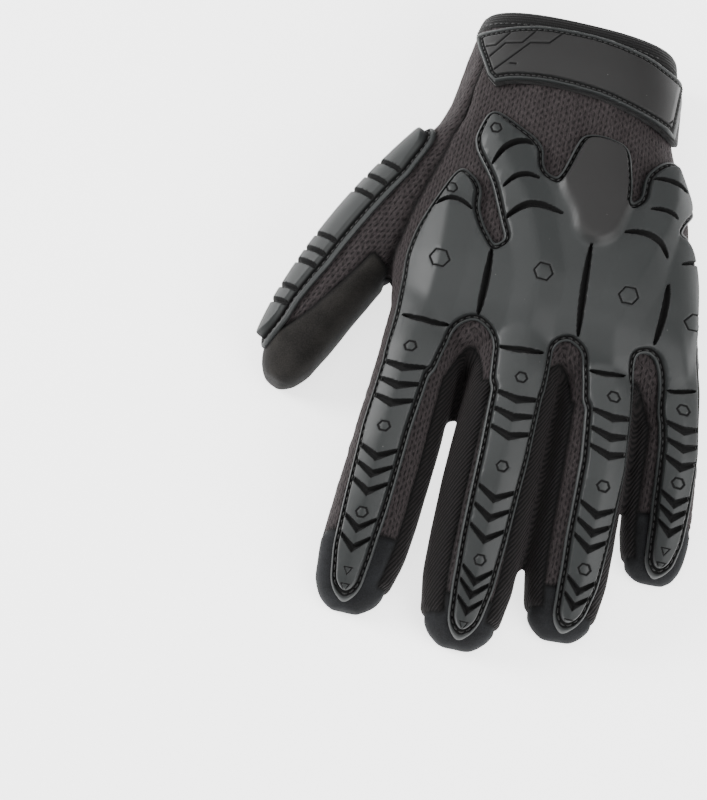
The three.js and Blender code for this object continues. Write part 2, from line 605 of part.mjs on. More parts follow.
// A groove of the plate: a thin crescent on a bowed line, pointed at both ends.
function plateGroove({ x0, y0, xm, ym, x1, y1 }) {
  const start = onBack({ across: x0, along: y0 });
  const end = onBack({ across: x1, along: y1 });
  const middle = onBack({ across: xm, along: ym });
  const normal = new THREE.Vector2(start.y - end.y, end.x - start.x).normalize();
  const side = (sign) => middle.clone().addScaledVector(normal, (sign * GROOVE_WIDTH) / 2);
  const curve = (through) => new THREE.SplineCurve([start, through, end]).getPoints(2 * GROOVE_STEPS);
  const crescent = [...curve(side(1)), ...curve(side(-1)).slice(1, -1).reverse()];
  return mouldPrism(crescent, plateLow, plateHigh);
}
const plateGrooves = union(PLATE_GROOVES.map(plateGroove)).subtract(handForm(GAP + GUARD - GROOVE_DEPTH));
const plateStuds = union(PLATE_STUDS.map((row) => {
  const foot = onBack(row);
  const circle = new THREE.Path().absarc(foot.x, foot.y, KNUCKLE_STUD_RADIUS, 0, 2 * Math.PI);
  return mouldPrism(circle.getSpacedPoints(6).slice(0, -1), plateLow, plateHigh);
})).subtract(handForm(GAP + GUARD - STUD_DEPTH));
const knuckleGuard = union([
  plateFlange, plateBody.subtract(plateGrooves).subtract(plateStuds), ...fingerStrips,
]).subtract(clothAndGap);

const thumbStrip = (border) =>
  stripSpace(thumbAt, THUMB_STRIP_SECTIONS, THUMB_STRIP_LEAN, THUMB_WIDTH, border);
const thumbCuts = union(THUMB_GROOVES.map((along) =>
  chevron(thumbAt, THUMB_STRIP_SECTIONS, THUMB_STRIP_LEAN, THUMB_WIDTH, along, 0)));
const thumbRaised = thumbForm(GAP + GUARD)
  .intersect(thumbStrip(0).transform(thumbPlace.elements))
  .subtract(thumbCuts.transform(thumbPlace.elements));
const thumbGuard = thumbForm(GAP + FLANGE)
  .intersect(thumbStrip(FLANGE_WIDTH).transform(thumbPlace.elements))
  .add(thumbRaised)
  .subtract(clothAndGap);

// Wrist strap, and the moulded patch sewn on it.
const strapOutline = STRAP_OUTLINE.map(onBack);
const overStrapEdge = slab([2 * BACK_LENGTH, 0].map((y) => ({
  y,
  corners: [
    [-KNUCKLE_WIDTH / 2, STRAP_LOW_LEFT], [KNUCKLE_WIDTH / 2, STRAP_LOW_RIGHT],
    [KNUCKLE_WIDTH / 2, REACH], [-KNUCKLE_WIDTH / 2, REACH],
  ],
})));
const strapRegion = (distance, low) =>
  mouldPrism(inset(strapOutline, distance), low, plateHigh)
    .subtract(behindCuffLine(BINDING_WIDTH + distance));
const wristStrap = handForm(GAP + STRAP).intersect(strapRegion(0, 0)).intersect(overStrapEdge)
  .subtract(clothAndGap);
const patchEnd = new THREE.BoxGeometry(REACH, REACH, REACH)
  .translate(PATCH_RIGHT_END * KNUCKLE_WIDTH + REACH / 2, 0, 0);
const strapPatch = handForm(2 * GAP + STRAP + PATCH).intersect(strapRegion(PATCH_BORDER, PATCH_LOW))
  .subtract(handForm(2 * GAP + STRAP)).subtract(solid(patchEnd));

// Pull tab: a folded loop of tape, sewn on the palm side of the cuff and standing out of it.
const tabPlace = handAt(cuffEnd);
const tabX = tabPlace.x - TAB_SHARE * tabPlace.half;
const tabShape = new THREE.Shape()
  .moveTo(-TAB_WIDTH / 2, 0).lineTo(TAB_WIDTH / 2, 0).lineTo(TAB_WIDTH / 2, TAB_LENGTH)
  .absarc(0, TAB_LENGTH, TAB_WIDTH / 2, 0, Math.PI);
const tabDepth = { depth: TAB_THICKNESS, bevelEnabled: false, curveSegments: 8 };
const tabGeometry = new THREE.ExtrudeGeometry(tabShape, tabDepth);
const tabY = tabPlace.y - cuffEnd.skew * (tabPlace.x - tabX) + GAP;
tabGeometry.translate(tabX, tabY, 0);
const pullTab = solid(tabGeometry);

// Three.js meshes from the solids, in the order in which the glove is sewn.
const knit = new THREE.MeshStandardMaterial({ color: '#3a3435', roughness: 0.95, metalness: 0 });
const stretchKnit = new THREE.MeshStandardMaterial({ color: '#242223', roughness: 0.95, metalness: 0 });
const suede = new THREE.MeshStandardMaterial({ color: '#2b2e31', roughness: 1, metalness: 0 });
const moulded = new THREE.MeshStandardMaterial({ color: '#4a4d4d', roughness: 0.55, metalness: 0 });
const elastic = new THREE.MeshStandardMaterial({ color: '#1f1f21', roughness: 0.95, metalness: 0 });

// Corners closer than WELD are joined, and the faces that this closes up are dropped.
const glove = new THREE.Group();
function piece(name, body, material) {
  const { vertProperties, triVerts } = body.getMesh();
  const cut = new THREE.BufferGeometry();
  cut.setAttribute('position', new THREE.BufferAttribute(Float32Array.from(vertProperties), 3));
  cut.setIndex(new THREE.BufferAttribute(Uint32Array.from(triVerts), 1));
  const geometry = mergeVertices(cut, WELD);
  const corners = geometry.index.array;
  const faces = [];
  for (let f = 0; f < corners.length; f += 3) {
    const [a, b, c] = corners.slice(f, f + 3);
    if (a !== b && b !== c && c !== a) faces.push(a, b, c);
  }
  geometry.setIndex(faces);
  geometry.computeVertexNormals();
  const mesh = new THREE.Mesh(geometry, material.clone());
  mesh.name = name;
  glove.add(mesh);
}
piece('palm_panel', palmPanel, suede);
piece('back_panel', backPanel, knit);
for (const { name, body } of fourchettes) piece(name, body, stretchKnit);
piece('thumb_back_panel', thumbBack, knit);
piece('thumb_palm_panel', thumbPalm, suede);
piece('cuff_binding', binding, elastic);
piece('knuckle_guard', knuckleGuard, moulded);
piece('thumb_guard', thumbGuard, moulded);
piece('wrist_strap', wristStrap, elastic);
piece('strap_patch', strapPatch, moulded);
piece('pull_tab', pullTab, elastic);

// The origin lies under the middle of the glove, on the table.
const box = new THREE.Box3().setFromObject(glove);
const middle = box.getCenter(new THREE.Vector3());
glove.position.set(-middle.x, -middle.y, -box.min.z);
glove.updateMatrixWorld(true);

export default glove;
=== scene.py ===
"""An impact work glove for the left hand, lying palm down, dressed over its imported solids."""
import math

import bpy
import numpy as np
from mathutils import Matrix, Vector, kdtree, noise


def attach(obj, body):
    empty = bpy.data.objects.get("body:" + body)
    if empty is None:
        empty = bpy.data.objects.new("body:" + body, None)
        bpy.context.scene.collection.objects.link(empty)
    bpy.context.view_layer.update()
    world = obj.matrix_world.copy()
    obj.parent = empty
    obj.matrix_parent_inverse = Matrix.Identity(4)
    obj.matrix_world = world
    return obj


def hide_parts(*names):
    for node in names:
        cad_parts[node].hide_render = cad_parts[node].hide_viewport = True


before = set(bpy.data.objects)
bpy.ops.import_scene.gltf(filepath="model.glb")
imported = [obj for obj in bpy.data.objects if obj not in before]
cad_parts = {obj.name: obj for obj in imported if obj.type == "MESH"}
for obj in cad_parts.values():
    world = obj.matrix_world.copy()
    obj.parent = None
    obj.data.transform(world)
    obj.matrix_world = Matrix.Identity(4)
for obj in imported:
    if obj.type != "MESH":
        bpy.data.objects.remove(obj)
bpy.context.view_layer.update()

# ---- Palm ----
# The palm is sueded synthetic leather, dark blue-grey, cut in one piece with the fingertip caps that
# wrap over onto the back. It is sewn to the sides with a turned seam, and the worn nap is uneven.

# All sizes are in millimetres, from the knuckle line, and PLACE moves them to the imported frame.
MM = 0.001
PLACE = np.array((16.643, 7.970, 0.0))
BACK_LENGTH = 113
KNUCKLE_WIDTH = 122
KNUCKLE_HEIGHT = 52
THUMB_LENGTH = 124
THUMB_WIDTH = 28
THUMB_HEIGHT = 44
THUMB_YAW = math.radians(28.2)
THUMB_ROOT = (-0.328 * KNUCKLE_WIDTH, 0.549 * BACK_LENGTH)
THUMB_BOW = -0.036
CLOTH = 1.4
SQUARENESS = 2.5
SKIN_STEP = 1.3
# The index and middle fingers' sides touch past their crotch, for as far as this web reaches.
WEB_MIDDLE = -25.2
WEB_HALF = 5.0
WEB_START = -30
WEB_LENGTH = 24
WEB_TOP = 31
WEB_UNDER = 15
# Farther than any two points here are from each other.
FAR = 1e9

# In each row, cap is where the leather fingertip starts, as a share of the finger's length, and seams
# are the heights of the seams down its two sides, as shares of half its depth.
FINGERS = {
    "index": dict(root=-43, length=133, width=35.5, height=46, depth=28, splay=-9.5, bow=0, lean=-21,
                  cap=0.8, seams=(0.76, 0.8)),
    "middle": dict(root=-4.8, length=139, width=37.2, height=50, depth=28, splay=-2.5, bow=-1.5, lean=13,
                   cap=0.88, seams=(0.93, 0.82)),
    "ring": dict(root=25.4, length=127, width=33.8, height=46, depth=27, splay=5.5, bow=0.8, lean=30,
                 cap=0.87, seams=(0.9, 0.8)),
    "little": dict(root=49.8, length=96, width=28.8, height=39, depth=24, splay=12.5, bow=3, lean=28,
                   cap=0.77, seams=(0.86, 0.76)),
}


def table(names, *rows):
    """Columns by name, each a smooth curve over the first column."""
    rows = np.array(sorted(rows), float)
    fine = np.linspace(rows[0, 0], rows[-1, 0], 241)
    width = 6
    bell = np.exp(-np.linspace(-2, 2, 2 * width + 1) ** 2)
    curves = {}
    for place, name in enumerate(names.split(), start=1):
        line = np.interp(fine, rows[:, 0], rows[:, place])
        padded = np.concatenate((
            2 * line[0] - line[width:0:-1], line, 2 * line[-1] - line[-2:-width - 2:-1]))
        curves[name] = np.convolve(padded, bell / bell.sum(), "valid")
    return lambda name, along: np.interp(along, fine, curves[name])


HAND = table(
    "left right top under skew",
    (1.12, -0.37, 0.247, 0.875, -0.05, -0.015), (1, -0.377, 0.254, 0.885, -0.05, -0.015),
    (0.84, -0.41, 0.287, 0.923, -0.06, -0.02), (0.68, -0.434, 0.3, 0.942, -0.06, 0),
    (0.53, -0.475, 0.369, 0.962, -0.06, 0), (0.4, -0.496, 0.41, 0.98, -0.06, 0),
    (0.22, -0.516, 0.443, 1, -0.05, 0), (0.04, -0.508, 0.48, 1.01, 0, 0),
    (-0.09, -0.492, 0.5, 0.99, 0.1, 0), (-0.2, -0.475, 0.51, 0.92, 0.22, 0),
    (-0.28, -0.467, 0.51, 0.8, 0.3, 0), (-0.33, -0.44, 0.48, 0.65, 0.38, 0))
FINGER = table(
    "wide top deep",
    (-0.1, 0.76, 0.88, 0.9), (0.12, 0.9, 0.98, 1), (0.25, 0.93, 0.98, 1), (0.4, 0.96, 0.92, 1),
    (0.55, 0.99, 0.82, 0.98), (0.7, 1, 0.66, 0.95), (0.82, 0.98, 0.51, 0.9), (0.92, 0.86, 0.36, 0.75),
    (0.975, 0.62, 0.25, 0.55), (1, 0.3, 0.15, 0.32))
THUMB = table(
    "wide top under",
    (-0.06, 1.1, 0.96, 0.18), (0.13, 1.08, 0.94, 0.17), (0.3, 1.07, 0.9, 0.14), (0.46, 1.06, 0.83, 0.1),
    (0.64, 1.02, 0.75, 0.05), (0.79, 0.95, 0.66, -0.03), (0.91, 0.82, 0.55, -0.05),
    (0.97, 0.6, 0.43, -0.02), (1, 0.3, 0.32, 0.04))


def hand_at(along):
    left = HAND("left", along) * KNUCKLE_WIDTH
    right = HAND("right", along) * KNUCKLE_WIDTH
    top = HAND("top", along) * KNUCKLE_HEIGHT
    under = HAND("under", along) * KNUCKLE_HEIGHT
    return (left + right) / 2, (right - left) / 2, top, under


def finger_at(finger, along):
    share = np.maximum(0, along)
    x = finger["root"] + finger["splay"] * share ** 1.6 + finger["bow"] * np.sin(np.pi * share)
    top = FINGER("top", along) * finger["height"]
    under = top - FINGER("deep", along) * finger["depth"]
    return x, FINGER("wide", along) * finger["width"] / 2, top, under


def thumb_at(along):
    x = THUMB_BOW * THUMB_LENGTH * np.sin(np.pi * np.maximum(0, along))
    top = THUMB("top", along) * THUMB_HEIGHT
    return x, THUMB("wide", along) * THUMB_WIDTH / 2, top, THUMB("under", along) * THUMB_HEIGHT


def from_thumb(points):
    """Points laid out along the thumb, turned out from the hand."""
    cos, sin = math.cos(-THUMB_YAW), math.sin(-THUMB_YAW)
    turned = points.copy()
    turned[..., 0] = THUMB_ROOT[0] + cos * points[..., 0] - sin * points[..., 1]
    turned[..., 1] = THUMB_ROOT[1] + sin * points[..., 0] + cos * points[..., 1]
    return turned


def to_thumb(points):
    cos, sin = math.cos(THUMB_YAW), math.sin(THUMB_YAW)
    x, y = points[..., 0] - THUMB_ROOT[0], points[..., 1] - THUMB_ROOT[1]
    back = points.copy()
    back[..., 0] = cos * x - sin * y
    back[..., 1] = sin * x + cos * y
    return back


def tube(place, y, skew=0, sides=56):
    """Rings of a rounded section, flat where it meets the table, and the faces between them."""
    x, half, top, under = (np.broadcast_to(v, y.shape)[:, None] for v in place)
    turn = np.linspace(0, 2 * np.pi, sides, endpoint=False)
    across = np.sign(np.cos(turn)) * np.abs(np.cos(turn)) ** (2 / SQUARENESS)
    up = np.sign(np.sin(turn)) * np.abs(np.sin(turn)) ** (2 / SQUARENESS)
    z = np.maximum(0, (top + under) / 2 + (top - under) / 2 * up)
    rings = np.stack((x + half * across, y[:, None] + skew * half * across, z), axis=-1)
    count = len(y)
    points = np.concatenate((rings.reshape(-1, 3), rings[0].mean(0)[None], rings[-1].mean(0)[None]))
    faces = []
    for ring in range(count - 1):
        for side in range(sides):
            a, b = ring * sides + side, ring * sides + (side + 1) % sides
            faces.append((a, a + sides, b + sides, b))
    for side in range(sides):
        after = (side + 1) % sides
        faces.append((count * sides, side, after))
        faces.append((count * sides + 1, (count - 1) * sides + after, (count - 1) * sides + side))
    return points, faces


def hand_form():
    """One closed skin round the hand, the four fingers and the thumb."""
    tubes = []
    along = np.linspace(1.12, -0.33, 80)
    tubes.append(tube(hand_at(along), along * BACK_LENGTH, HAND("skew", along)[:, None]))
    tips = 1 - (1 - np.linspace(0, 1, 90)) ** 1.5
    for finger in FINGERS.values():
        along = -0.1 + 1.1 * tips
        tubes.append(tube(finger_at(finger, along), -along * finger["length"]))
    near = np.linspace(0, 1, 24)
    web = (WEB_MIDDLE - 1.2 * near, WEB_HALF * (1 - 0.8 * near ** 2),
           WEB_TOP - 4 * near ** 2, WEB_UNDER + 6 * near ** 2)
    tubes.append(tube(web, WEB_START - WEB_LENGTH * near))
    along = -0.06 + 1.06 * tips
    points, faces = tube(thumb_at(along), -along * THUMB_LENGTH)
    tubes.append((from_thumb(points), faces))
    corners, all_faces = [], []
    for points, faces in tubes:
        start = sum(map(len, corners))
        corners.append(points)
        all_faces += [tuple(start + i for i in face) for face in faces]
    mesh = bpy.data.meshes.new("hand_form")
    mesh.from_pydata((np.concatenate(corners) * MM).tolist(), [], all_faces)
    form = bpy.data.objects.new("hand_form", mesh)
    bpy.context.collection.objects.link(form)
    remesh = form.modifiers.new("one_skin", "REMESH")
    remesh.mode = "VOXEL"
    remesh.voxel_size = SKIN_STEP * MM
    soften = form.modifiers.new("soften", "SMOOTH")
    soften.factor = 0.5
    soften.iterations = 9
    bpy.context.view_layer.update()
    made = bpy.data.meshes.new_from_object(form.evaluated_get(bpy.context.evaluated_depsgraph_get()))
    made.calc_loop_triangles()
    at = np.zeros(len(made.vertices) * 3, np.float32)
    out = np.zeros(len(made.vertices) * 3, np.float32)
    tris = np.zeros(len(made.loop_triangles) * 3, np.int32)
    made.vertices.foreach_get("co", at)
    made.vertices.foreach_get("normal", out)
    made.loop_triangles.foreach_get("vertices", tris)
    bpy.data.objects.remove(form)
    bpy.data.meshes.remove(made)
    return {"at": at.reshape(-1, 3) / MM, "out": out.reshape(-1, 3).astype(float),
            "tris": tris.reshape(-1, 3)}


def edges_of(tris):
    """Each edge once, and for each triangle its three edges."""
    pairs = np.sort(np.concatenate((tris[:, [0, 1]], tris[:, [1, 2]], tris[:, [2, 0]])), axis=1)
    edges, back = np.unique(pairs, axis=0, return_inverse=True)
    return edges, back.reshape(3, -1).T


def split(skin, marked, share):
    """New corners on the marked edges at a share of their length, and the triangles round them cut."""
    tris = skin["tris"]
    edges, of_tri = edges_of(tris)
    a, b = edges[marked].T
    weight = share[marked][:, None]
    at = skin["at"][a] * (1 - weight) + skin["at"][b] * weight
    out = skin["out"][a] * (1 - weight) + skin["out"][b] * weight
    out /= np.linalg.norm(out, axis=1)[:, None]
    new = np.full(len(edges), -1)
    new[marked] = len(skin["at"]) + np.arange(marked.sum())
    mids = new[of_tri]
    hit = mids >= 0

    def faces(which, *corners):
        return [np.stack(corner, 1)[which] for corner in corners]

    parts = [tris[~hit.any(1)]]
    for turn in range(3):
        order = [turn, (turn + 1) % 3, (turn + 2) % 3]
        p, q, r = (tris[:, k] for k in order)
        pq, qr, rp = (mids[:, k] for k in order)
        h0, h1, h2 = (hit[:, k] for k in order)
        parts += faces(h0 & ~h1 & ~h2, (p, pq, r), (pq, q, r))
        parts += faces(h0 & h1 & ~h2, (pq, q, qr), (p, pq, qr), (p, qr, r))
        if turn == 0:
            parts += faces(h0 & h1 & h2, (p, pq, rp), (pq, q, qr), (rp, qr, r), (pq, qr, rp))
    return {"at": np.concatenate((skin["at"], at)), "out": np.concatenate((skin["out"], out)),
            "tris": np.concatenate(parts)}


def crossings(value, a, b):
    """Which edges have the line value = 0 across them, and at what share of their length."""
    crossing = value[a] * value[b] < 0
    share = np.zeros(len(a))
    share[crossing] = value[a][crossing] / (value[a][crossing] - value[b][crossing])
    return crossing, share


def cut(skin, field, level=0.0, near=0.16):
    """The skin with edges along field = level. Corners close to that line are moved onto it."""
    value = (field(skin["at"]) if callable(field) else field) - level
    edges, _ = edges_of(skin["tris"])
    a, b = edges.T
    crossing, share = crossings(value, a, b)
    at = skin["at"].copy()
    for start, end, part in ((a, b, share), (b, a, 1 - share)):
        close = crossing & (part < near)
        weight = part[close][:, None]
        at[start[close]] = skin["at"][start[close]] * (1 - weight) + skin["at"][end[close]] * weight
        value[start[close]] = 0
    crossing, share = crossings(value, a, b)
    done = split({"at": at, "out": skin["out"], "tris": skin["tris"]}, crossing, share)
    return done, np.concatenate((value, np.zeros(crossing.sum())))


def keep(skin, chosen):
    """The chosen triangles, with only the corners that they use."""
    used, tris = np.unique(skin["tris"][chosen], return_inverse=True)
    return {"at": skin["at"][used], "out": skin["out"][used], "tris": tris.reshape(-1, 3)}


def halves(skin, field):
    """The parts of the skin where the field is positive, and where it isn't."""
    done, value = cut(skin, field)
    side = value[done["tris"]].sum(1) > 0
    return keep(done, side), keep(done, ~side)


def runs_along(skin, value):
    """The lines of edges along which a cut field is nought, each as a run of corners."""
    edges, _ = edges_of(skin["tris"])
    links = {}
    for a, b in edges[(value[edges] == 0).all(1)].tolist():
        links.setdefault(a, []).append(b)
        links.setdefault(b, []).append(a)
    runs, seen = [], set()
    for start in sorted(links, key=lambda corner: (len(links[corner]) == 2, corner)):
        for first in links[start]:
            run, last, now = [start], start, first
            while now is not None and (last, now) not in seen:
                seen.update(((last, now), (now, last)))
                run.append(now)
                ways = [way for way in links[now] if (now, way) not in seen]
                last, now = now, ways[0] if len(links[now]) == 2 and ways else None
            if len(run) > 3:
                runs.append(run)
    return runs


def rim_edges(tris):
    """The edges with one triangle only, in that triangle's direction."""
    pairs = np.concatenate((tris[:, [0, 1]], tris[:, [1, 2]], tris[:, [2, 0]]))
    _, back, count = np.unique(np.sort(pairs, axis=1), axis=0, return_inverse=True, return_counts=True)
    return pairs[count[back.ravel()] == 1]


def nearest(points, targets):
    """Distance from each point to the nearest target."""
    tree = kdtree.KDTree(len(targets))
    for i, target in enumerate(targets):
        tree.insert(target, i)
    tree.balance()
    return np.array([tree.find(point)[2] for point in points])


def seam_distance(skin):
    """Distance of each corner from the panel's own edge, but not from the open cuff."""
    rim = np.unique(rim_edges(skin["tris"]))
    rim = rim[skin["at"][rim, 1] < (BACK_LENGTH - BINDING_WIDTH) - 0.5]
    return nearest(skin["at"], skin["at"][rim])


def ripple(points, size, seed=0.0):
    """Smooth noise from -1 to 1, with lumps of this size in millimetres."""
    shift = Vector((seed, 2 * seed, 3 * seed))
    return np.array([noise.noise(Vector(point) / size + shift) for point in points])


# A millimetre down a limb's side is this much cloth, since the side also curves in.
SIDE_CLOTH = 0.8


def round_limb(points, x, top):
    """Across the cloth from a limb's middle, and on down its side."""
    dx = points[:, 0] - x
    return x + np.sign(dx) * (np.abs(dx) + np.maximum(0, top - points[:, 2]) * SIDE_CLOTH)


def lay_of(points):
    """Where each point lies on the cloth, in millimetres: round the limb from its top, and along it."""
    x, _, top, _ = hand_at(points[:, 1] / BACK_LENGTH)
    lay = np.zeros_like(points)
    lay[:, 0] = round_limb(points, x, top)
    lay[:, 1] = points[:, 1]
    best = np.full(len(points), FAR)
    for finger in FINGERS.values():
        x, half, top, _ = finger_at(finger, -points[:, 1] / finger["length"])
        close = np.abs(points[:, 0] - x) / half
        mine = (points[:, 1] < -22) & (close < best)
        best[mine] = close[mine]
        lay[mine, 0] = round_limb(points, x, top)[mine]
    thumb = to_thumb(points)
    mine = thumb_side(points) > 0
    x, _, top, _ = thumb_at(-thumb[:, 1] / THUMB_LENGTH)
    lay[mine, 0] = round_limb(thumb, x, top)[mine]
    lay[mine, 1] = thumb[mine, 1]
    return lay


MOST_TRIANGLES = 190000


def make_piece(name, skin, high, low, facts, material, crease=40.0):
    """A closed piece between two heights over the skin, with per-corner facts for its material."""
    at, out, tris = skin["at"], skin["out"], skin["tris"]
    count = len(at)
    above = at + out * np.broadcast_to(high, count)[:, None]
    below = at + out * np.broadcast_to(low, count)[:, None]
    above[:, 2] = np.maximum(above[:, 2], 0.0)
    below[:, 2] = np.maximum(below[:, 2], np.minimum(above[:, 2], 0.4))
    rim = rim_edges(tris)
    a, b = rim.T
    walls = np.concatenate((np.stack((b, a, a + count), 1), np.stack((b, a + count, b + count), 1)))
    faces = np.concatenate((tris, tris[:, ::-1] + count, walls))
    mesh = bpy.data.meshes.new(name)
    mesh.vertices.add(2 * count)
    corners = (np.concatenate((above, below)) + PLACE) * MM
    mesh.vertices.foreach_set("co", corners.astype(np.float32).ravel())
    mesh.loops.add(3 * len(faces))
    mesh.loops.foreach_set("vertex_index", faces.astype(np.int32).ravel())
    mesh.polygons.add(len(faces))
    mesh.polygons.foreach_set("loop_start", np.arange(0, 3 * len(faces), 3, dtype=np.int32))
    mesh.update(calc_edges=True)
    for fact, values in facts.items():
        values = np.concatenate((values, values)).astype(np.float32)
        kind = "FLOAT_VECTOR" if values.ndim == 2 else "FLOAT"
        layer = mesh.attributes.new(fact, kind, "POINT")
        layer.data.foreach_set("vector" if values.ndim == 2 else "value", values.ravel())
    mesh.polygons.foreach_set("use_smooth", np.ones(len(faces), bool))
    mesh.materials.append(material)
    piece = bpy.data.objects.new(name, mesh)
    bpy.context.collection.objects.link(piece)
    if len(faces) > MOST_TRIANGLES:
        # The underside and the plain faces lose corners that they don't need.
        thin = piece.modifiers.new("thin_out", "DECIMATE")
        thin.ratio = MOST_TRIANGLES / len(faces)
        bpy.context.view_layer.update()
        shown = piece.evaluated_get(bpy.context.evaluated_depsgraph_get())
        piece.data = bpy.data.meshes.new_from_object(shown)
        piece.modifiers.clear()
        bpy.data.meshes.remove(mesh)
    piece.data.set_sharp_from_angle(angle=math.radians(crease))
    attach(piece, "root")
    return piece


def linear(code):
    """A linear colour from sRGB hex."""
    parts = [int(code[i:i + 2], 16) / 255 for i in (1, 3, 5)]
    return (*[p / 12.92 if p <= 0.04045 else ((p + 0.055) / 1.055) ** 2.4 for p in parts], 1.0)


def add(tree, kind, links=None, **settings):
    """One node with its settings. A link's value is an output, a node for its first output, or plain."""
    made = tree.nodes.new(kind)
    for name, value in settings.items():
        setattr(made, name, value)
    for key, value in (links or {}).items():
        if isinstance(value, bpy.types.Node):
            value = value.outputs[0]
        if isinstance(value, bpy.types.NodeSocket):
            tree.links.new(value, made.inputs[key])
        else:
            made.inputs[key].default_value = value
    return made


def new_material(name):
    material = bpy.data.materials.new(name)
    material.use_nodes = True
    tree = material.node_tree
    tree.nodes.clear()
    return material, tree


def suede(name, dark, light):
    """Sueded microfibre, buffed: a short uneven nap that scatters light and shows soft hand marks."""
    material, tree = new_material(name)
    place = add(tree, "ShaderNodeTexCoord").outputs["Object"]
    # The nap's tufts are half a millimetre apart and the marks of handling 13 mm.
    nap = add(tree, "ShaderNodeTexNoise", {
        "Vector": place, "Scale": 1900.0, "Detail": 3.0, "Roughness": 0.7})
    marks = add(tree, "ShaderNodeTexNoise", {
        "Vector": place, "Scale": 75.0, "Detail": 4.0, "Roughness": 0.6})
    seam = add(tree, "ShaderNodeAttribute", attribute_name="seam").outputs["Fac"]
    both = add(tree, "ShaderNodeMix", {0: 0.45, 2: nap, 3: marks})
    spread = add(tree, "ShaderNodeMapRange", {"Value": both, "From Min": 0.38, "From Max": 0.64})
    colour = add(tree, "ShaderNodeMix", {0: spread, 6: linear(dark), 7: linear(light)}, data_type="RGBA")
    # Painted shade: within 1.6 mm of a seam the colour darkens to near black, where the seam's dip lies in
    # shadow.
    painted_seam_shade = add(tree, "ShaderNodeMapRange", {"Value": seam, "From Min": 0.0, "From Max": 1.6})
    shaded = add(tree, "ShaderNodeMix", {0: painted_seam_shade, 6: linear("#060606"), 7: colour.outputs[2]},
                 data_type="RGBA")
    bump = add(tree, "ShaderNodeBump", {"Height": nap, "Strength": 0.5, "Distance": 0.00025})
    shader = add(tree, "ShaderNodeBsdfPrincipled", {
        "Base Color": shaded.outputs[2], "Roughness": 0.96, "Sheen Weight": 0.25, "Sheen Roughness": 0.45,
        "Sheen Tint": linear("#6f7174"), "Normal": bump, "Specular IOR Level": 0.2})
    add(tree, "ShaderNodeOutputMaterial", {"Surface": shader})
    return material


# Seam between the hand and the thumb's panels: across the back on top and on the palm below.
THUMB_SEAM = table(
    "top palm",
    (1.2, -0.33, -0.4), (1.1, -0.33, -0.4), (0.78, -0.35, -0.41), (0.62, -0.395, -0.36),
    (0.45, -0.44, -0.345), (0.22, -0.5, -0.42), (0.05, -0.517, -0.505), (-0.05, -0.52, -0.515),
    (-0.2, -0.55, -0.55), (-0.6, -0.6, -0.6))
THUMB_SEAM_LOW = -40
THUMB_SEAM_HIGH = 1.2 * KNUCKLE_HEIGHT


def thumb_side(points):
    """Positive on the thumb's side of its seam."""
    x, y, z = points.T
    along = y / BACK_LENGTH
    rise = (z - THUMB_SEAM_LOW) / (THUMB_SEAM_HIGH - THUMB_SEAM_LOW)
    palm, top = THUMB_SEAM("palm", along), THUMB_SEAM("top", along)
    return (palm + (top - palm) * rise) * KNUCKLE_WIDTH - x


CROTCH = -0.3
SEAM_HEIGHT = table(
    "left right", (-0.3, 0.62, 0.55), (0, 0.48, 0.42), (0.35, 0.38, 0.38), (1.2, 0.38, 0.38))
SEAM_LEFT = 0.48
SEAM_RIGHT = 0.42


def above_seams(points):
    """Positive on the back: over the side seams, and on each finger short of its leather cap."""
    x, y, z = points.T
    along = y / BACK_LENGTH
    ends = []
    for name in ("index", "little"):
        _, _, top, under = finger_at(FINGERS[name], -CROTCH * BACK_LENGTH / FINGERS[name]["length"])
        ends.append((top + under) / 2 / KNUCKLE_HEIGHT)
    fade = np.clip(along / CROTCH, 0, 1)
    left = np.where(along < 0, SEAM_LEFT + (ends[0] - SEAM_LEFT) * fade, SEAM_HEIGHT("left", along))
    right = np.where(along < 0, SEAM_RIGHT + (ends[1] - SEAM_RIGHT) * fade, SEAM_HEIGHT("right", along))
    side = np.clip((x + KNUCKLE_WIDTH) / (2 * KNUCKLE_WIDTH), 0, 1)
    field = z - (left + (right - left) * side) * KNUCKLE_HEIGHT
    best = np.full(len(x), FAR)
    for finger in FINGERS.values():
        share = -y / finger["length"]
        middle, half, top, under = finger_at(finger, share)
        close = np.abs(x - middle) / half
        mine = (along < CROTCH) & (close < best)
        best[mine] = close[mine]
        short = (finger["cap"] - share) * finger["length"]
        field[mine] = np.minimum(z - (top + under) / 2, short)[mine]
    return field


# The strips between fingers: how low they reach, where they end and start, and the arch at the crotch.
WALL_LOW = 0.6
WALL_END = 0.93
WALL_START = 0.255
ARCH = 0.3
ARCH_DEPTH = 13


def between(left, right):
    """A field that is positive on the strip between two fingers."""
    def field(points):
        x, y, z = points.T
        values = []
        middles = [finger_at(finger, -y / finger["length"])[0] for finger in (left, right)]
        off = np.abs(x - sum(middles) / 2)
        arch = np.minimum(ARCH * off ** 2, ARCH_DEPTH)
        for finger, side in ((left, 1), (right, -1)):
            share = -y / finger["length"]
            middle, half, top, under = finger_at(finger, share)
            centre, depth = (top + under) / 2, (top - under) / 2
            low, high = centre - WALL_LOW * depth, centre + finger["seams"][side > 0] * depth
            inside = side * (x - middle) - 0.35 * half
            beyond = half + 6 - side * (x - middle)
            start = -y - WALL_START * BACK_LENGTH - arch
            end = (WALL_END - share) * finger["length"]
            values.append(np.minimum.reduce((z - low, high - z, inside, beyond, start, end)))
        return np.maximum(*values)
    return field


BINDING_WIDTH = 7
# Where the thumb's suede starts along it, how its seam tilts, and how far across the thumb it lies.
LEATHER_START = 0.52
LEATHER_TILT = math.radians(40)
LEATHER_SHARE = -0.42


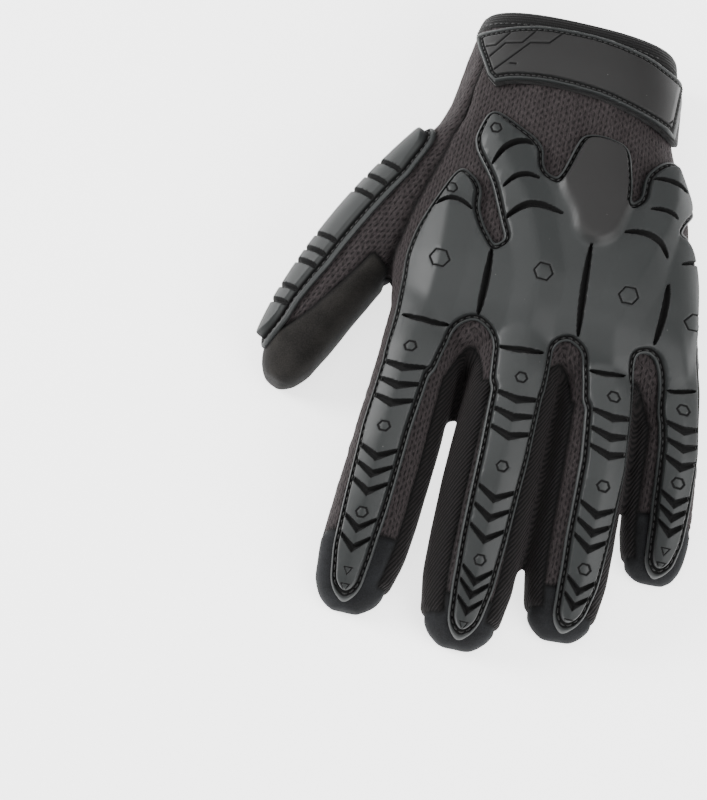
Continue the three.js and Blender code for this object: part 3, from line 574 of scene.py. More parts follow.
def thumb_leather(points):
    """Positive past the line across the thumb's root, on the index side and underneath."""
    place = to_thumb(points)
    x, half, top, under = thumb_at(LEATHER_START)
    dx = place[:, 0] - x - LEATHER_SHARE * half * math.cos(LEATHER_TILT)
    dz = place[:, 2] - (top + under) / 2 + LEATHER_SHARE * half * math.sin(LEATHER_TILT)
    over = dx * math.cos(LEATHER_TILT) - dz * math.sin(LEATHER_TILT)
    past = -LEATHER_START * THUMB_LENGTH - place[:, 1]
    return np.minimum(over, past)


def cuff_line(points, short=0.0):
    """Positive towards the hand from the cuff's edge."""
    x, y, _ = points.T
    centre = (-0.377 + 0.254) / 2 * KNUCKLE_WIDTH
    return BACK_LENGTH - short + -0.015 * (x - centre) - y


whole = hand_form()
glove_skin, _ = halves(whole, cuff_line)
panels, binding_skin = halves(glove_skin, lambda p: cuff_line(p, BINDING_WIDTH))
thumb_skin, hand_skin = halves(panels, thumb_side)
thumb_leather_skin, thumb_knit_skin = halves(thumb_skin, thumb_leather)
fourchette_skins = {}
names = list(FINGERS)
for left, right in zip(names, names[1:]):
    strip, hand_skin = halves(hand_skin, between(FINGERS[left], FINGERS[right]))
    fourchette_skins[f"fourchette_{left}_{right}"] = strip
back_skin, palm_skin = halves(hand_skin, above_seams)

# A seam draws the cloth down by its dip over a narrow roll, with puckers beside it. Folds are 11 mm
# across with smaller ones between, and lean along the hand.
SEAM_DIP = 0.9
SEAM_ROLL = 1.5
PUCKER = 0.4
PUCKER_SIZE = 2.6
PUCKER_REACH = 4.0
FOLD_SIZE = 11.0
SMALL_FOLD_SIZE = 5.0
FOLD_LEAN = math.radians(12)
FOLD_STRETCH = 0.3
PROUDEST = 0.25


def folds(points, seam, amount):
    """Slack in the cloth, drawn out along the hand, and puckers along its seams. None stands proud."""
    cos, sin = math.cos(FOLD_LEAN), math.sin(FOLD_LEAN)
    drawn = points.copy()
    drawn[:, 0] = cos * points[:, 0] + sin * points[:, 1]
    drawn[:, 1] = FOLD_STRETCH * (cos * points[:, 1] - sin * points[:, 0])
    large, small = ripple(drawn, FOLD_SIZE, 1.0), ripple(drawn, SMALL_FOLD_SIZE, 5.0)
    slack = amount * (0.6 * large + 0.3 * small - 0.35)
    pucker = PUCKER * np.exp(-(seam / PUCKER_REACH) ** 2) * ripple(points, PUCKER_SIZE, 9.0)
    dip = -SEAM_DIP * np.exp(-(seam / SEAM_ROLL) ** 2)
    return np.minimum(slack + pucker, PROUDEST) + dip


# Each crease's place and depth in millimetres. A finger's places are shares of its length.
FINGER_CREASES = ((0.29, 1.0), (0.33, 0.6), (0.56, 0.9), (0.6, 0.5), (0.78, 0.5))
PALM_CREASES = ((20.0, 0.8), (52.0, 0.6))


def creases(points):
    """Soft lines across the palm's side of the fingers and the palm, where the glove bends."""
    x, y, _ = points.T
    depth = np.zeros(len(x))
    for finger in FINGERS.values():
        share = -y / finger["length"]
        middle, half, _, _ = finger_at(finger, share)
        near = np.abs(x - middle) < half + 1
        for place, strength in FINGER_CREASES:
            wander = 1.5 * np.sin(x * 0.35 + place * 20)
            depth -= near * strength * np.exp(-((-y - place * finger["length"] - wander) / 1.7) ** 2)
    for place, strength in PALM_CREASES:
        depth -= strength * np.exp(-((y - place - 6 * np.sin(x * 0.05)) / 2.2) ** 2)
    return depth


seam = seam_distance(palm_skin)
under_side = np.clip(-palm_skin["out"][:, 2] * 1.5, 0, 1)
high = folds(palm_skin["at"], seam, 0.6) + under_side * creases(palm_skin["at"])
palm = make_piece(
    "palm_panel_suede", palm_skin, high, high - CLOTH,
    {"seam": seam, "lay": lay_of(palm_skin["at"])},
    suede("palm_sueded_microfibre", "#0d0d0e", "#1e1f21"))
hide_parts("palm_panel")

# ---- Back of the hand ----
# The back and the finger backs are one charcoal air mesh, a warp knit with small upright open
# stitches over a denser ground. It is cut round the fingers and sewn to the palm along both sides.

# The mesh's wales are 1.9 mm apart and its openings 2.9 mm apart along them, in brick order. Both
# wander a little, as the cloth is stretched unevenly.
WALE = 1.9
COURSE = 2.9
WOBBLE = 1.8


def air_mesh(name, dark, ground, light):
    """Polyester air mesh, warp knitted: upright loops with small dark openings between them."""
    material, tree = new_material(name)
    lay = add(tree, "ShaderNodeAttribute", attribute_name="lay").outputs["Vector"]
    seam = add(tree, "ShaderNodeAttribute", attribute_name="seam").outputs["Fac"]
    parts = add(tree, "ShaderNodeSeparateXYZ", {0: lay})
    uneven = add(tree, "ShaderNodeTexNoise", {"Vector": lay, "Scale": 0.5, "Detail": 3.0})
    wobble = add(tree, "ShaderNodeMath", {0: uneven, 1: WOBBLE}, operation="MULTIPLY")
    across = add(tree, "ShaderNodeMath", {0: parts.outputs[0], 1: wobble}, operation="ADD")
    along = add(tree, "ShaderNodeMath", {0: parts.outputs[1], 1: wobble}, operation="ADD")
    wale = add(tree, "ShaderNodeMath", {0: across, 1: WALE}, operation="DIVIDE")
    row = add(tree, "ShaderNodeMath", {0: wale}, operation="FLOOR")
    odd = add(tree, "ShaderNodeMath", {0: row, 1: 2.0}, operation="MODULO")
    # Every second wale is half a course further on.
    shift = add(tree, "ShaderNodeMath", {0: odd, 1: 0.5}, operation="MULTIPLY")
    course = add(tree, "ShaderNodeMath", {0: along, 1: COURSE}, operation="DIVIDE")
    course = add(tree, "ShaderNodeMath", {0: course, 1: shift}, operation="ADD")
    cell_u = add(tree, "ShaderNodeMath", {0: wale}, operation="FRACT")
    cell_v = add(tree, "ShaderNodeMath", {0: course}, operation="FRACT")
    from_hole = add(tree, "ShaderNodeCombineXYZ", {0: cell_u, 1: cell_v})
    from_hole = add(tree, "ShaderNodeVectorMath", {0: from_hole, 1: (0.5, 0.5, 0.0)},
                    operation="SUBTRACT")
    from_hole = add(tree, "ShaderNodeVectorMath", {0: from_hole, 1: (1.9, 1.35, 0.0)},
                    operation="MULTIPLY")
    away = add(tree, "ShaderNodeVectorMath", {0: from_hole}, operation="LENGTH").outputs["Value"]
    loop = add(tree, "ShaderNodeMapRange", {"Value": away, "From Min": 0.2, "From Max": 0.62},
               interpolation_type="SMOOTHSTEP")
    drawn = add(tree, "ShaderNodeMapping", {"Vector": lay, "Scale": (1.0, 0.24, 1.0)})
    fuzz = add(tree, "ShaderNodeTexNoise", {
        "Vector": drawn, "Scale": 1.7, "Detail": 5.0, "Roughness": 0.8})
    streak = add(tree, "ShaderNodeMapRange", {"Value": fuzz, "From Min": 0.36, "From Max": 0.66})
    low = add(tree, "ShaderNodeMix", {0: loop, 6: linear(dark), 7: linear(ground)}, data_type="RGBA")
    raised = add(tree, "ShaderNodeMapRange", {"Value": loop, "To Min": 0.3, "To Max": 1.0})
    lit = add(tree, "ShaderNodeMath", {0: raised, 1: streak}, operation="MULTIPLY")
    colour = add(tree, "ShaderNodeMix", {0: lit, 6: low.outputs[2], 7: linear(light)}, data_type="RGBA")
    # Painted shade: within 1.4 mm of a seam the colour darkens to near black, where the seam's dip lies in
    # shadow.
    painted_seam_shade = add(tree, "ShaderNodeMapRange", {"Value": seam, "From Min": 0.0, "From Max": 1.4})
    shaded = add(tree, "ShaderNodeMix", {0: painted_seam_shade, 6: linear("#050404"), 7: colour.outputs[2]},
                 data_type="RGBA")
    height = add(tree, "ShaderNodeMath", {0: loop, 1: fuzz}, operation="ADD")
    bump = add(tree, "ShaderNodeBump", {"Height": height, "Strength": 0.8, "Distance": 0.0004})
    shader = add(tree, "ShaderNodeBsdfPrincipled", {
        "Base Color": shaded.outputs[2], "Roughness": 0.92, "Sheen Weight": 0.18, "Sheen Roughness": 0.4,
        "Sheen Tint": linear("#7d7173"), "Normal": bump, "Specular IOR Level": 0.25})
    add(tree, "ShaderNodeOutputMaterial", {"Surface": shader})
    return material


def calm_at_cuff(points):
    """From 1 on the hand to 0 at the cuff's binding, which holds the cloth flat."""
    return np.clip((BACK_LENGTH - BINDING_WIDTH - 2 - points[:, 1]) / 14, 0, 1)


knit = air_mesh("polyester_air_mesh", "#040303", "#161313", "#383233")
seam = seam_distance(back_skin)
wristward = np.clip((back_skin["at"][:, 1] - 20) / 50, 0, 1)
looser = (0.9 + 1.8 * wristward) * calm_at_cuff(back_skin["at"])
high = folds(back_skin["at"], seam, looser)
back = make_piece("back_panel_knit", back_skin, high, high - CLOTH,
                  {"seam": seam, "lay": lay_of(back_skin["at"])}, knit)
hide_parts("back_panel")

# ---- Strips between the fingers ----
# Three strips of black stretch knit run down the facing sides of the fingers and round each crotch.
# The knit has a fine slanting rib, and its soft folds gather where the fingers part.


def ribbed_knit(name, dark, light):
    """Nylon stretch knit with a slanting rib every 1.5 mm."""
    material, tree = new_material(name)
    lay = add(tree, "ShaderNodeAttribute", attribute_name="lay").outputs["Vector"]
    seam = add(tree, "ShaderNodeAttribute", attribute_name="seam").outputs["Fac"]
    turned = add(tree, "ShaderNodeMapping", {"Vector": lay, "Rotation": (0, 0, math.radians(40))})
    rib = add(tree, "ShaderNodeTexWave", {
        "Vector": turned, "Scale": 0.21, "Distortion": 0.5, "Detail": 1.0, "Detail Scale": 1.0})
    rib = rib.outputs["Fac"]
    fuzz = add(tree, "ShaderNodeTexNoise", {"Vector": lay, "Scale": 2.6, "Detail": 3.0})
    # In the knit this is only uneven wear, a noise that lightens the rib in places.
    wear_and_bead_highlight = add(tree, "ShaderNodeMath", {0: fuzz, 1: 0.4}, operation="ADD")
    both = add(tree, "ShaderNodeMath", {0: rib, 1: wear_and_bead_highlight}, operation="MULTIPLY")
    colour = add(tree, "ShaderNodeMix", {0: both, 6: linear(dark), 7: linear(light)}, data_type="RGBA")
    # Painted shade: within 1.4 mm of a seam the colour darkens to near black, where the seam's dip lies in
    # shadow.
    painted_seam_shade = add(tree, "ShaderNodeMapRange", {"Value": seam, "From Min": 0.0, "From Max": 1.4})
    shaded = add(tree, "ShaderNodeMix", {0: painted_seam_shade, 6: linear("#040404"), 7: colour.outputs[2]},
                 data_type="RGBA")
    bump = add(tree, "ShaderNodeBump", {"Height": rib, "Strength": 0.7, "Distance": 0.0004})
    shader = add(tree, "ShaderNodeBsdfPrincipled", {
        "Base Color": shaded.outputs[2], "Roughness": 0.94, "Sheen Weight": 0.15, "Sheen Roughness": 0.4,
        "Sheen Tint": linear("#8a8082"), "Normal": bump, "Specular IOR Level": 0.2})
    add(tree, "ShaderNodeOutputMaterial", {"Surface": shader})
    return material


stretch = ribbed_knit("nylon_stretch_rib", "#030303", "#1b1818")
for name, skin in fourchette_skins.items():
    seam = seam_distance(skin)
    deep = np.exp(-((skin["at"][:, 1] + 34) / 7) ** 2)
    high = folds(skin["at"], seam, 0.5) - 0.8 * deep * np.abs(ripple(skin["at"], 4.0, 3.0))
    strip = make_piece(name + "_knit", skin, high, high - CLOTH,
                       {"seam": seam, "lay": lay_of(skin["at"])}, stretch)
    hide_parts(name)

# ---- Thumb ----
# The thumb has its own mesh panel, which runs up its outer side to the wrist, and a suede panel on
# the gripping side. The suede is joined by a seam across the thumb's root and wraps over the tip.

for name, skin, node_name, slot_name, cloth, slack in (
        ("thumb_back_panel_knit", thumb_knit_skin, "thumb_back_panel", "back_knit", knit, 2.0),
        ("thumb_palm_panel_suede", thumb_leather_skin, "thumb_palm_panel", "palm_suede",
         suede("thumb_sueded_microfibre", "#100f0e", "#242220"), 0.35)):
    seam = seam_distance(skin)
    high = folds(skin["at"], seam, slack * calm_at_cuff(skin["at"]))
    panel = make_piece(name, skin, high, high - CLOTH, {"seam": seam, "lay": lay_of(skin["at"])}, cloth)
    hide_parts(node_name)

# ---- Cuff binding ----
# A band of black woven elastic folded over the cut edge of the cuff and sewn through. It stands a
# little proud of the cloth, and its ribs run round the wrist.

# How proud the binding stands, and how far in and how high its line of stitches lies.
BINDING = 0.9
HEM_STITCH = 1.4
HEM_HEIGHT = 0.75


def woven_elastic(name, dark, light, pitch):
    """Woven elastic or webbing: fine cords side by side, bound by crossing threads."""
    material, tree = new_material(name)
    lay = add(tree, "ShaderNodeAttribute", attribute_name="lay").outputs["Vector"]
    parts = add(tree, "ShaderNodeSeparateXYZ", {0: lay})
    turns = 2 * math.pi / pitch
    cord_turn = add(tree, "ShaderNodeMath", {0: parts.outputs[1], 1: turns}, operation="MULTIPLY")
    cords = add(tree, "ShaderNodeMath", {0: cord_turn}, operation="SINE")
    cross_turn = add(tree, "ShaderNodeMath", {0: parts.outputs[0], 1: 1.25 * turns}, operation="MULTIPLY")
    cross = add(tree, "ShaderNodeMath", {0: cross_turn}, operation="SINE")
    weave = add(tree, "ShaderNodeMix", {0: 0.3, 2: cords, 3: cross})
    lit = add(tree, "ShaderNodeMapRange", {"Value": weave, "From Min": -1.0, "From Max": 1.0})
    fuzz = add(tree, "ShaderNodeTexNoise", {"Vector": lay, "Scale": 2.2, "Detail": 3.0})
    both = add(tree, "ShaderNodeMath", {0: lit, 1: fuzz}, operation="MULTIPLY")
    colour = add(tree, "ShaderNodeMix", {0: both, 6: linear(dark), 7: linear(light)}, data_type="RGBA")
    bump = add(tree, "ShaderNodeBump", {"Height": weave, "Strength": 0.6, "Distance": 0.0002})
    shader = add(tree, "ShaderNodeBsdfPrincipled", {
        "Base Color": colour.outputs[2], "Roughness": 0.93, "Sheen Weight": 0.12, "Sheen Roughness": 0.4,
        "Normal": bump, "Specular IOR Level": 0.25})
    add(tree, "ShaderNodeOutputMaterial", {"Surface": shader})
    return material


elastic = woven_elastic("woven_elastic", "#040404", "#191818", 1.1)
edge = cuff_line(binding_skin["at"])
rounded = np.sqrt(np.clip(1 - ((edge - BINDING_WIDTH / 2) / (BINDING_WIDTH / 2)) ** 2, 0, 1))
binding = make_piece("cuff_binding_elastic", binding_skin, BINDING * rounded, -CLOTH - 0.3 * rounded,
                     {"lay": lay_of(binding_skin["at"])}, elastic)
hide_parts("cuff_binding")

# ---- Knuckle guard ----
# One moulding of grey thermoplastic rubber: a plate over the knuckles with a strip down each finger.
# A thin flange all round is sewn down, and the thick body inside it has grooves where it bends.

FLANGE = 1.5
FLANGE_WIDTH = 2.6
GUARD = 4.0
GAP = 0.3
# Outlines on the back are drawn as seen down the mould's line, which leans towards the fingertips.
MOULD_LEAN = math.tan(math.radians(20))
PLATE_LOW = 0.45
PLATE_LOW_ROUND = 6.0
# The plate is made of joined lobes. Corners are shares of the knuckle width and the back length.
PLATE_LOBES = {
    "index": [
        (-0.462, -0.25), (-0.462, -0.085), (-0.462, 0.075), (-0.467, 0.17), (-0.452, 0.273),
        (-0.42, 0.377), (-0.358, 0.535), (-0.3, 0.5), (-0.272, 0.457), (-0.272, 0.395), (-0.244, 0.33),
        (-0.2, 0.27), (-0.15, 0.2), (-0.16, 0), (-0.192, -0.018), (-0.223, -0.018), (-0.255, -0.043),
        (-0.273, -0.074), (-0.284, -0.123), (-0.298, -0.179), (-0.313, -0.25)],
    "middle": [
        (-0.122, -0.25), (-0.131, -0.151), (-0.134, -0.102), (-0.145, -0.07), (-0.166, -0.04),
        (-0.192, -0.022), (-0.223, -0.01), (-0.21, 0.26), (-0.17, 0.295), (-0.191, 0.34),
        (-0.222, 0.42), (-0.254, 0.5), (-0.336, 0.62), (-0.31, 0.735), (-0.287, 0.758),
        (-0.258, 0.753), (-0.11, 0.675), (-0.095, 0.575), (-0.03, 0.55), (0.08, 0.5), (0.13, 0),
        (0.103, -0.02), (0.084, -0.023), (0.07, -0.031), (0.055, -0.05), (0.047, -0.068), (0.044, -0.116),
        (0.041, -0.159), (0.038, -0.25)],
    "boss": [
        (-0.06, 0.33), (-0.052, 0.555), (-0.036, 0.583), (-0.004, 0.715), (0.016, 0.74), (0.068, 0.75),
        (0.143, 0.734), (0.17, 0.7), (0.202, 0.555), (0.2, 0.33)],
    "ring": [
        (0.184, -0.25), (0.169, -0.161), (0.157, -0.11), (0.149, -0.07), (0.137, -0.046), (0.12, -0.032),
        (0.103, -0.025), (0.08, 0), (0.09, 0.48), (0.228, 0.527), (0.225, 0.63), (0.25, 0.672),
        (0.279, 0.702), (0.316, 0.706), (0.344, 0.66), (0.393, 0.574), (0.407, 0.527), (0.377, 0.47),
        (0.353, 0.3), (0.345, 0.2), (0.37, 0.02), (0.35, -0.007), (0.332, -0.009), (0.316, -0.021),
        (0.306, -0.039), (0.299, -0.067), (0.299, -0.102), (0.303, -0.153), (0.309, -0.25)],
    "little": [
        (0.44, -0.25), (0.419, -0.152), (0.406, -0.102), (0.396, -0.067), (0.384, -0.039),
        (0.368, -0.016), (0.35, -0.007), (0.33, 0.02), (0.33, 0.22), (0.356, 0.43), (0.385, 0.458),
        (0.421, 0.405), (0.448, 0.32), (0.465, 0.25), (0.5, 0.04), (0.52, -0.06), (0.532, -0.14),
        (0.538, -0.25)],
}
# Crescent grooves across and between the lobes: start, middle, end, and half of their width.
PLATE_GROOVES = [
    ((-0.205, 0.249), (-0.202, 0.12), (-0.205, 0.0), 1.45),
    ((0.101, 0.34), (0.107, 0.17), (0.12, 0.0), 1.45),
    ((0.36, 0.25), (0.366, 0.14), (0.358, 0.025), 1.35),
    ((-0.4, 0.36), (-0.347, 0.394), (-0.289, 0.372), 0.9),
    ((-0.256, 0.549), (-0.2, 0.645), (-0.124, 0.654), 1.3),
    ((-0.209, 0.475), (-0.16, 0.53), (-0.102, 0.535), 1.1),
    ((-0.185, 0.36), (-0.11, 0.43), (-0.006, 0.425), 1.5),
    ((0.244, 0.62), (0.298, 0.618), (0.348, 0.589), 0.9),
    ((0.257, 0.508), (0.302, 0.51), (0.34, 0.487), 0.9),
    ((0.194, 0.406), (0.275, 0.408), (0.338, 0.339), 1.3),
    ((0.381, 0.327), (0.414, 0.342), (0.445, 0.331), 0.9),
    ((-0.432, -0.061), (-0.36, -0.068), (-0.288, -0.055), 1.2),
    ((-0.116, -0.1), (-0.047, -0.102), (0.017, -0.09), 1.2),
    ((0.182, -0.114), (0.235, -0.119), (0.286, -0.107), 1.1),
    ((0.428, -0.118), (0.469, -0.123), (0.51, -0.113), 1.0),
]
KNUCKLE_STUDS = [(-0.352, 0.17), (-0.03, 0.198), (0.246, 0.175), (0.454, 0.126)]
KNUCKLE_STUD = 3.7
SMALL_STUDS = [(-0.264, 0.679), (-0.359, 0.429)]
SMALL_STUD = 2.0
STRIP = table(
    "half turn",
    (-0.1, 0.2, 0), (0, 0.2, 0), (0.14, 0.2, 0.25), (0.25, 0.205, 0.7), (0.5, 0.195, 1),
    (0.72, 0.18, 0.85), (0.85, 0.155, 0.8), (0.93, 0.115, 0.65), (0.975, 0.06, 0.5))
STRIP_END = 0.975
TIP_ROUND = 8.0
TIP_SOFT = 2.2
# Places along each finger of the strip's studs, chevron grooves and shields.
STRIP_MARKS = {
    "index": ([0.266, 0.506, 0.746], [0.33, 0.384, 0.436, 0.59, 0.638, 0.688, 0.79, 0.842], [0.9, 0.94]),
    "middle": ([0.286, 0.534, 0.78],
               [0.348, 0.398, 0.45, 0.618, 0.67, 0.726, 0.834, 0.868, 0.908], [0.94]),
    "ring": ([0.3, 0.564, 0.802], [0.362, 0.42, 0.474, 0.646, 0.698, 0.744, 0.862, 0.904], [0.945]),
    "little": ([0.36, 0.632], [0.436, 0.504, 0.572, 0.706, 0.758, 0.812], [0.875, 0.925]),
}


def moulding_line(points):
    """Points as seen down the mould's line on the table."""
    return np.stack((points[:, 0], points[:, 1] + MOULD_LEAN * points[:, 2]), 1)


def on_back(rows):
    return np.array([(x * KNUCKLE_WIDTH, y * BACK_LENGTH) for x, y in rows], float)


def line_distance(points, line):
    """Distance to a line through corners."""
    best = np.full(len(points), FAR)
    for a, b in zip(line, line[1:]):
        edge = b - a
        reach = np.clip(((points - a) @ edge) / (edge @ edge), 0, 1)
        best = np.minimum(best, np.linalg.norm(points - a - reach[:, None] * edge, axis=1))
    return best


def outline_distance(points, outline):
    """Signed distance to a closed outline, negative inside."""
    x, y = points.T
    closed = np.concatenate((outline, outline[:1]))
    inside = np.zeros(len(points), bool)
    for a, b in zip(closed, closed[1:]):
        rises = (a[1] > y) != (b[1] > y)
        with np.errstate(divide="ignore", invalid="ignore"):
            inside ^= rises & (x < (b[0] - a[0]) * (y - a[1]) / (b[1] - a[1]) + a[0])
    away = line_distance(points, closed)
    return np.where(inside, -away, away)


def softer(outline, steps=3):
    """An outline with its corners rounded by cutting them again and again."""
    for _ in range(steps):
        after = np.roll(outline, -1, axis=0)
        outline = np.stack((outline * 0.8 + after * 0.2, outline * 0.2 + after * 0.8), 1).reshape(-1, 2)
    return outline


# The grid that outlines are drawn on: its spacing and lowest corner in millimetres, and its points.
PLAN_STEP = 0.5
PLAN_LOW = np.array((-80.0, -60.0))
PLAN_SIZE = (321, 381)


def plan_map(outlines, rounding=2):
    """Signed distance to the joined outlines, drawn once on a flat grid and looked up from it."""
    lines = [low + PLAN_STEP * np.arange(size) for low, size in zip(PLAN_LOW, PLAN_SIZE)]
    columns, rows = np.meshgrid(*lines)
    grid = np.stack((columns.ravel(), rows.ravel()), 1)
    edge_points, fields = [], []
    for place, outline in enumerate(outlines):
        t = np.linspace(0, 1, 6, endpoint=False)[:, None, None]
        drawn = (outline * (1 - t) + np.roll(outline, -1, axis=0) * t).reshape(-1, 2)
        for other, its_outline in enumerate(outlines):
            if other != place:
                drawn = drawn[outline_distance(drawn, its_outline) > -0.02]
        edge_points.append(drawn)
        fields.append(outline_distance(grid, outline) < 0)
    inside = np.any(fields, axis=0)
    flat_edge = np.concatenate(edge_points)
    gap = nearest(np.pad(grid, ((0, 0), (0, 1))), np.pad(flat_edge, ((0, 0), (0, 1))))
    field = np.where(inside, -gap, gap).reshape(PLAN_SIZE[::-1])
    for _ in range(rounding):
        for axis in (0, 1):
            field = (np.roll(field, 1, axis) + 2 * field + np.roll(field, -1, axis)) / 4

    def look_up(points):
        place = np.clip((points - PLAN_LOW) / PLAN_STEP, 0, np.array(PLAN_SIZE) - 1.001)
        column, row = place.astype(int).T
        across, down = (place - np.floor(place)).T
        upper = field[row, column] * (1 - across) + field[row, column + 1] * across
        lower = field[row + 1, column] * (1 - across) + field[row + 1, column + 1] * across
        return upper * (1 - down) + lower * down
    return look_up


plate_map = plan_map([softer(on_back(rows), 2) for rows in PLATE_LOBES.values()], 6)


def smooth_min(a, b, reach):
    blend = np.clip(0.5 + 0.5 * (b - a) / reach, 0, 1)
    return b * (1 - blend) + a * blend - reach * blend * (1 - blend)


def plate_field(points):
    """Negative inside the plate's outline, which ends over the side seams."""
    field = plate_map(moulding_line(points))
    return -smooth_min(-field, points[:, 2] - PLATE_LOW * KNUCKLE_HEIGHT, PLATE_LOW_ROUND)


def leaning(points, section, angle):
    """Across a strip, and outwards from the limb's middle, where the strip leans by this angle."""
    x, _, top, under = section
    dx, dz = points[:, 0] - x, points[:, 2] - (top + under) / 2
    return dx * np.cos(angle) - dz * np.sin(angle), dx * np.sin(angle) + dz * np.cos(angle)


def strip_place(finger, points):
    """Across a finger's strip and outwards from the finger's middle, and the share of its length."""
    share = -points[:, 1] / finger["length"]
    angle = np.radians(finger["lean"] * STRIP("turn", share))
    return *leaning(points, finger_at(finger, share), angle), share


# A strip lies on the top of its limb, at least this far over its middle.
ON_TOP = 2
OUTSIDE = 1e3


def strip_field(finger, points):
    across, up, share = strip_place(finger, points)
    half = STRIP("half", share) * finger["width"] + FLANGE_WIDTH
    side = np.hypot(across, TIP_SOFT) - half
    end = (share - STRIP_END) * finger["length"] - FLANGE_WIDTH
    field = -smooth_min(-side, -end, TIP_ROUND)
    return np.where((up > ON_TOP) & (share > 0), field, OUTSIDE)


STRIP_BLEND = 3.0


def guard_field(points):
    """Negative inside the guard's outline."""
    field = plate_field(points)
    for finger in FINGERS.values():
        field = smooth_min(field, strip_field(finger, points), STRIP_BLEND)
    return field


def rise(low, high, value):
    """From 0 to 1 between two values, with soft ends."""
    t = np.clip((value - low) / (high - low), 0, 1)
    return t * t * (3 - 2 * t)


# The ridge that each lobe is moulded to, from its tip through the studs to its finger.
RIDGES = [
    [(-0.31, 0.53), (-0.359, 0.429), (-0.352, 0.17), (-0.362, 0.0), (-0.37, -0.3)],
    [(-0.28, 0.755), (-0.264, 0.679), (-0.2, 0.56), (-0.12, 0.44), (-0.04, 0.2), (-0.045, 0.0),
     (-0.04, -0.3)],
    [(0.3, 0.72), (0.325, 0.56), (0.32, 0.45), (0.246, 0.175), (0.235, 0.0), (0.22, -0.3)],
    [(0.395, 0.46), (0.425, 0.3), (0.454, 0.126), (0.455, 0.0), (0.44, -0.3)],
]
RIDGE_SLOPE = 0.22
RIDGE_ROUND = 0.5
RIDGE_FALL = 2.1
# The bare boss between the lobes.
BOSS = softer(on_back([
    (-0.04, 0.57), (-0.015, 0.5), (0.03, 0.44), (0.045, 0.385), (0.075, 0.355), (0.106, 0.345),
    (0.14, 0.355), (0.168, 0.385), (0.183, 0.44), (0.195, 0.5), (0.2, 0.57), (0.175, 0.7),
    (0.14, 0.73), (0.07, 0.745), (0.015, 0.73), (-0.01, 0.7)]))
boss_map = plan_map([BOSS])


def off_ridge(points):
    """Distance from the nearest ridge of the plate or of a finger's strip."""
    flat = moulding_line(points)
    away = np.minimum.reduce([line_distance(flat, on_back(rows)) for rows in RIDGES])
    for finger in FINGERS.values():
        across, up, share = strip_place(finger, points)
        half = STRIP("half", share) * finger["width"] + FLANGE_WIDTH
        mine = (up > ON_TOP) & (np.abs(across) < half + 3)
        weight = rise(0.0, 14.0, -points[:, 1]) * mine
        away = away * (1 - weight) + np.abs(across) * weight
    return away


GROOVE_POINTS = 90


def groove(points, start, middle, end, half):
    """How deep a point lies in a crescent groove, from 0 to 1."""
    t = np.linspace(0, 1, GROOVE_POINTS)[:, None]
    bend = 2 * middle - (start + end) / 2
    line = (1 - t) ** 2 * start + 2 * t * (1 - t) * bend + t ** 2 * end
    gap = np.linalg.norm(points[:, None] - line[None], axis=2)
    at = gap.argmin(1)
    width = half * np.clip(np.sin(np.pi * t[:, 0]), 0, 1)[at] ** 0.4 + 0.05
    return np.clip(1 - gap.min(1) / width, 0, 1)


def ring_mark(across, along, radius, corners, wide=0.0):
    """How deep a point lies in the sunk outline of a stud with this many corners."""
    angle = np.arctan2(across, along)
    distance = np.hypot(across, along)
    slice_angle = 2 * np.pi / corners
    local = (angle + slice_angle / 2) % slice_angle - slice_angle / 2
    distance = distance * np.cos(local) / math.cos(slice_angle / 2)
    return np.clip(1 - np.abs(distance - radius) / (0.5 + wide), 0, 1)


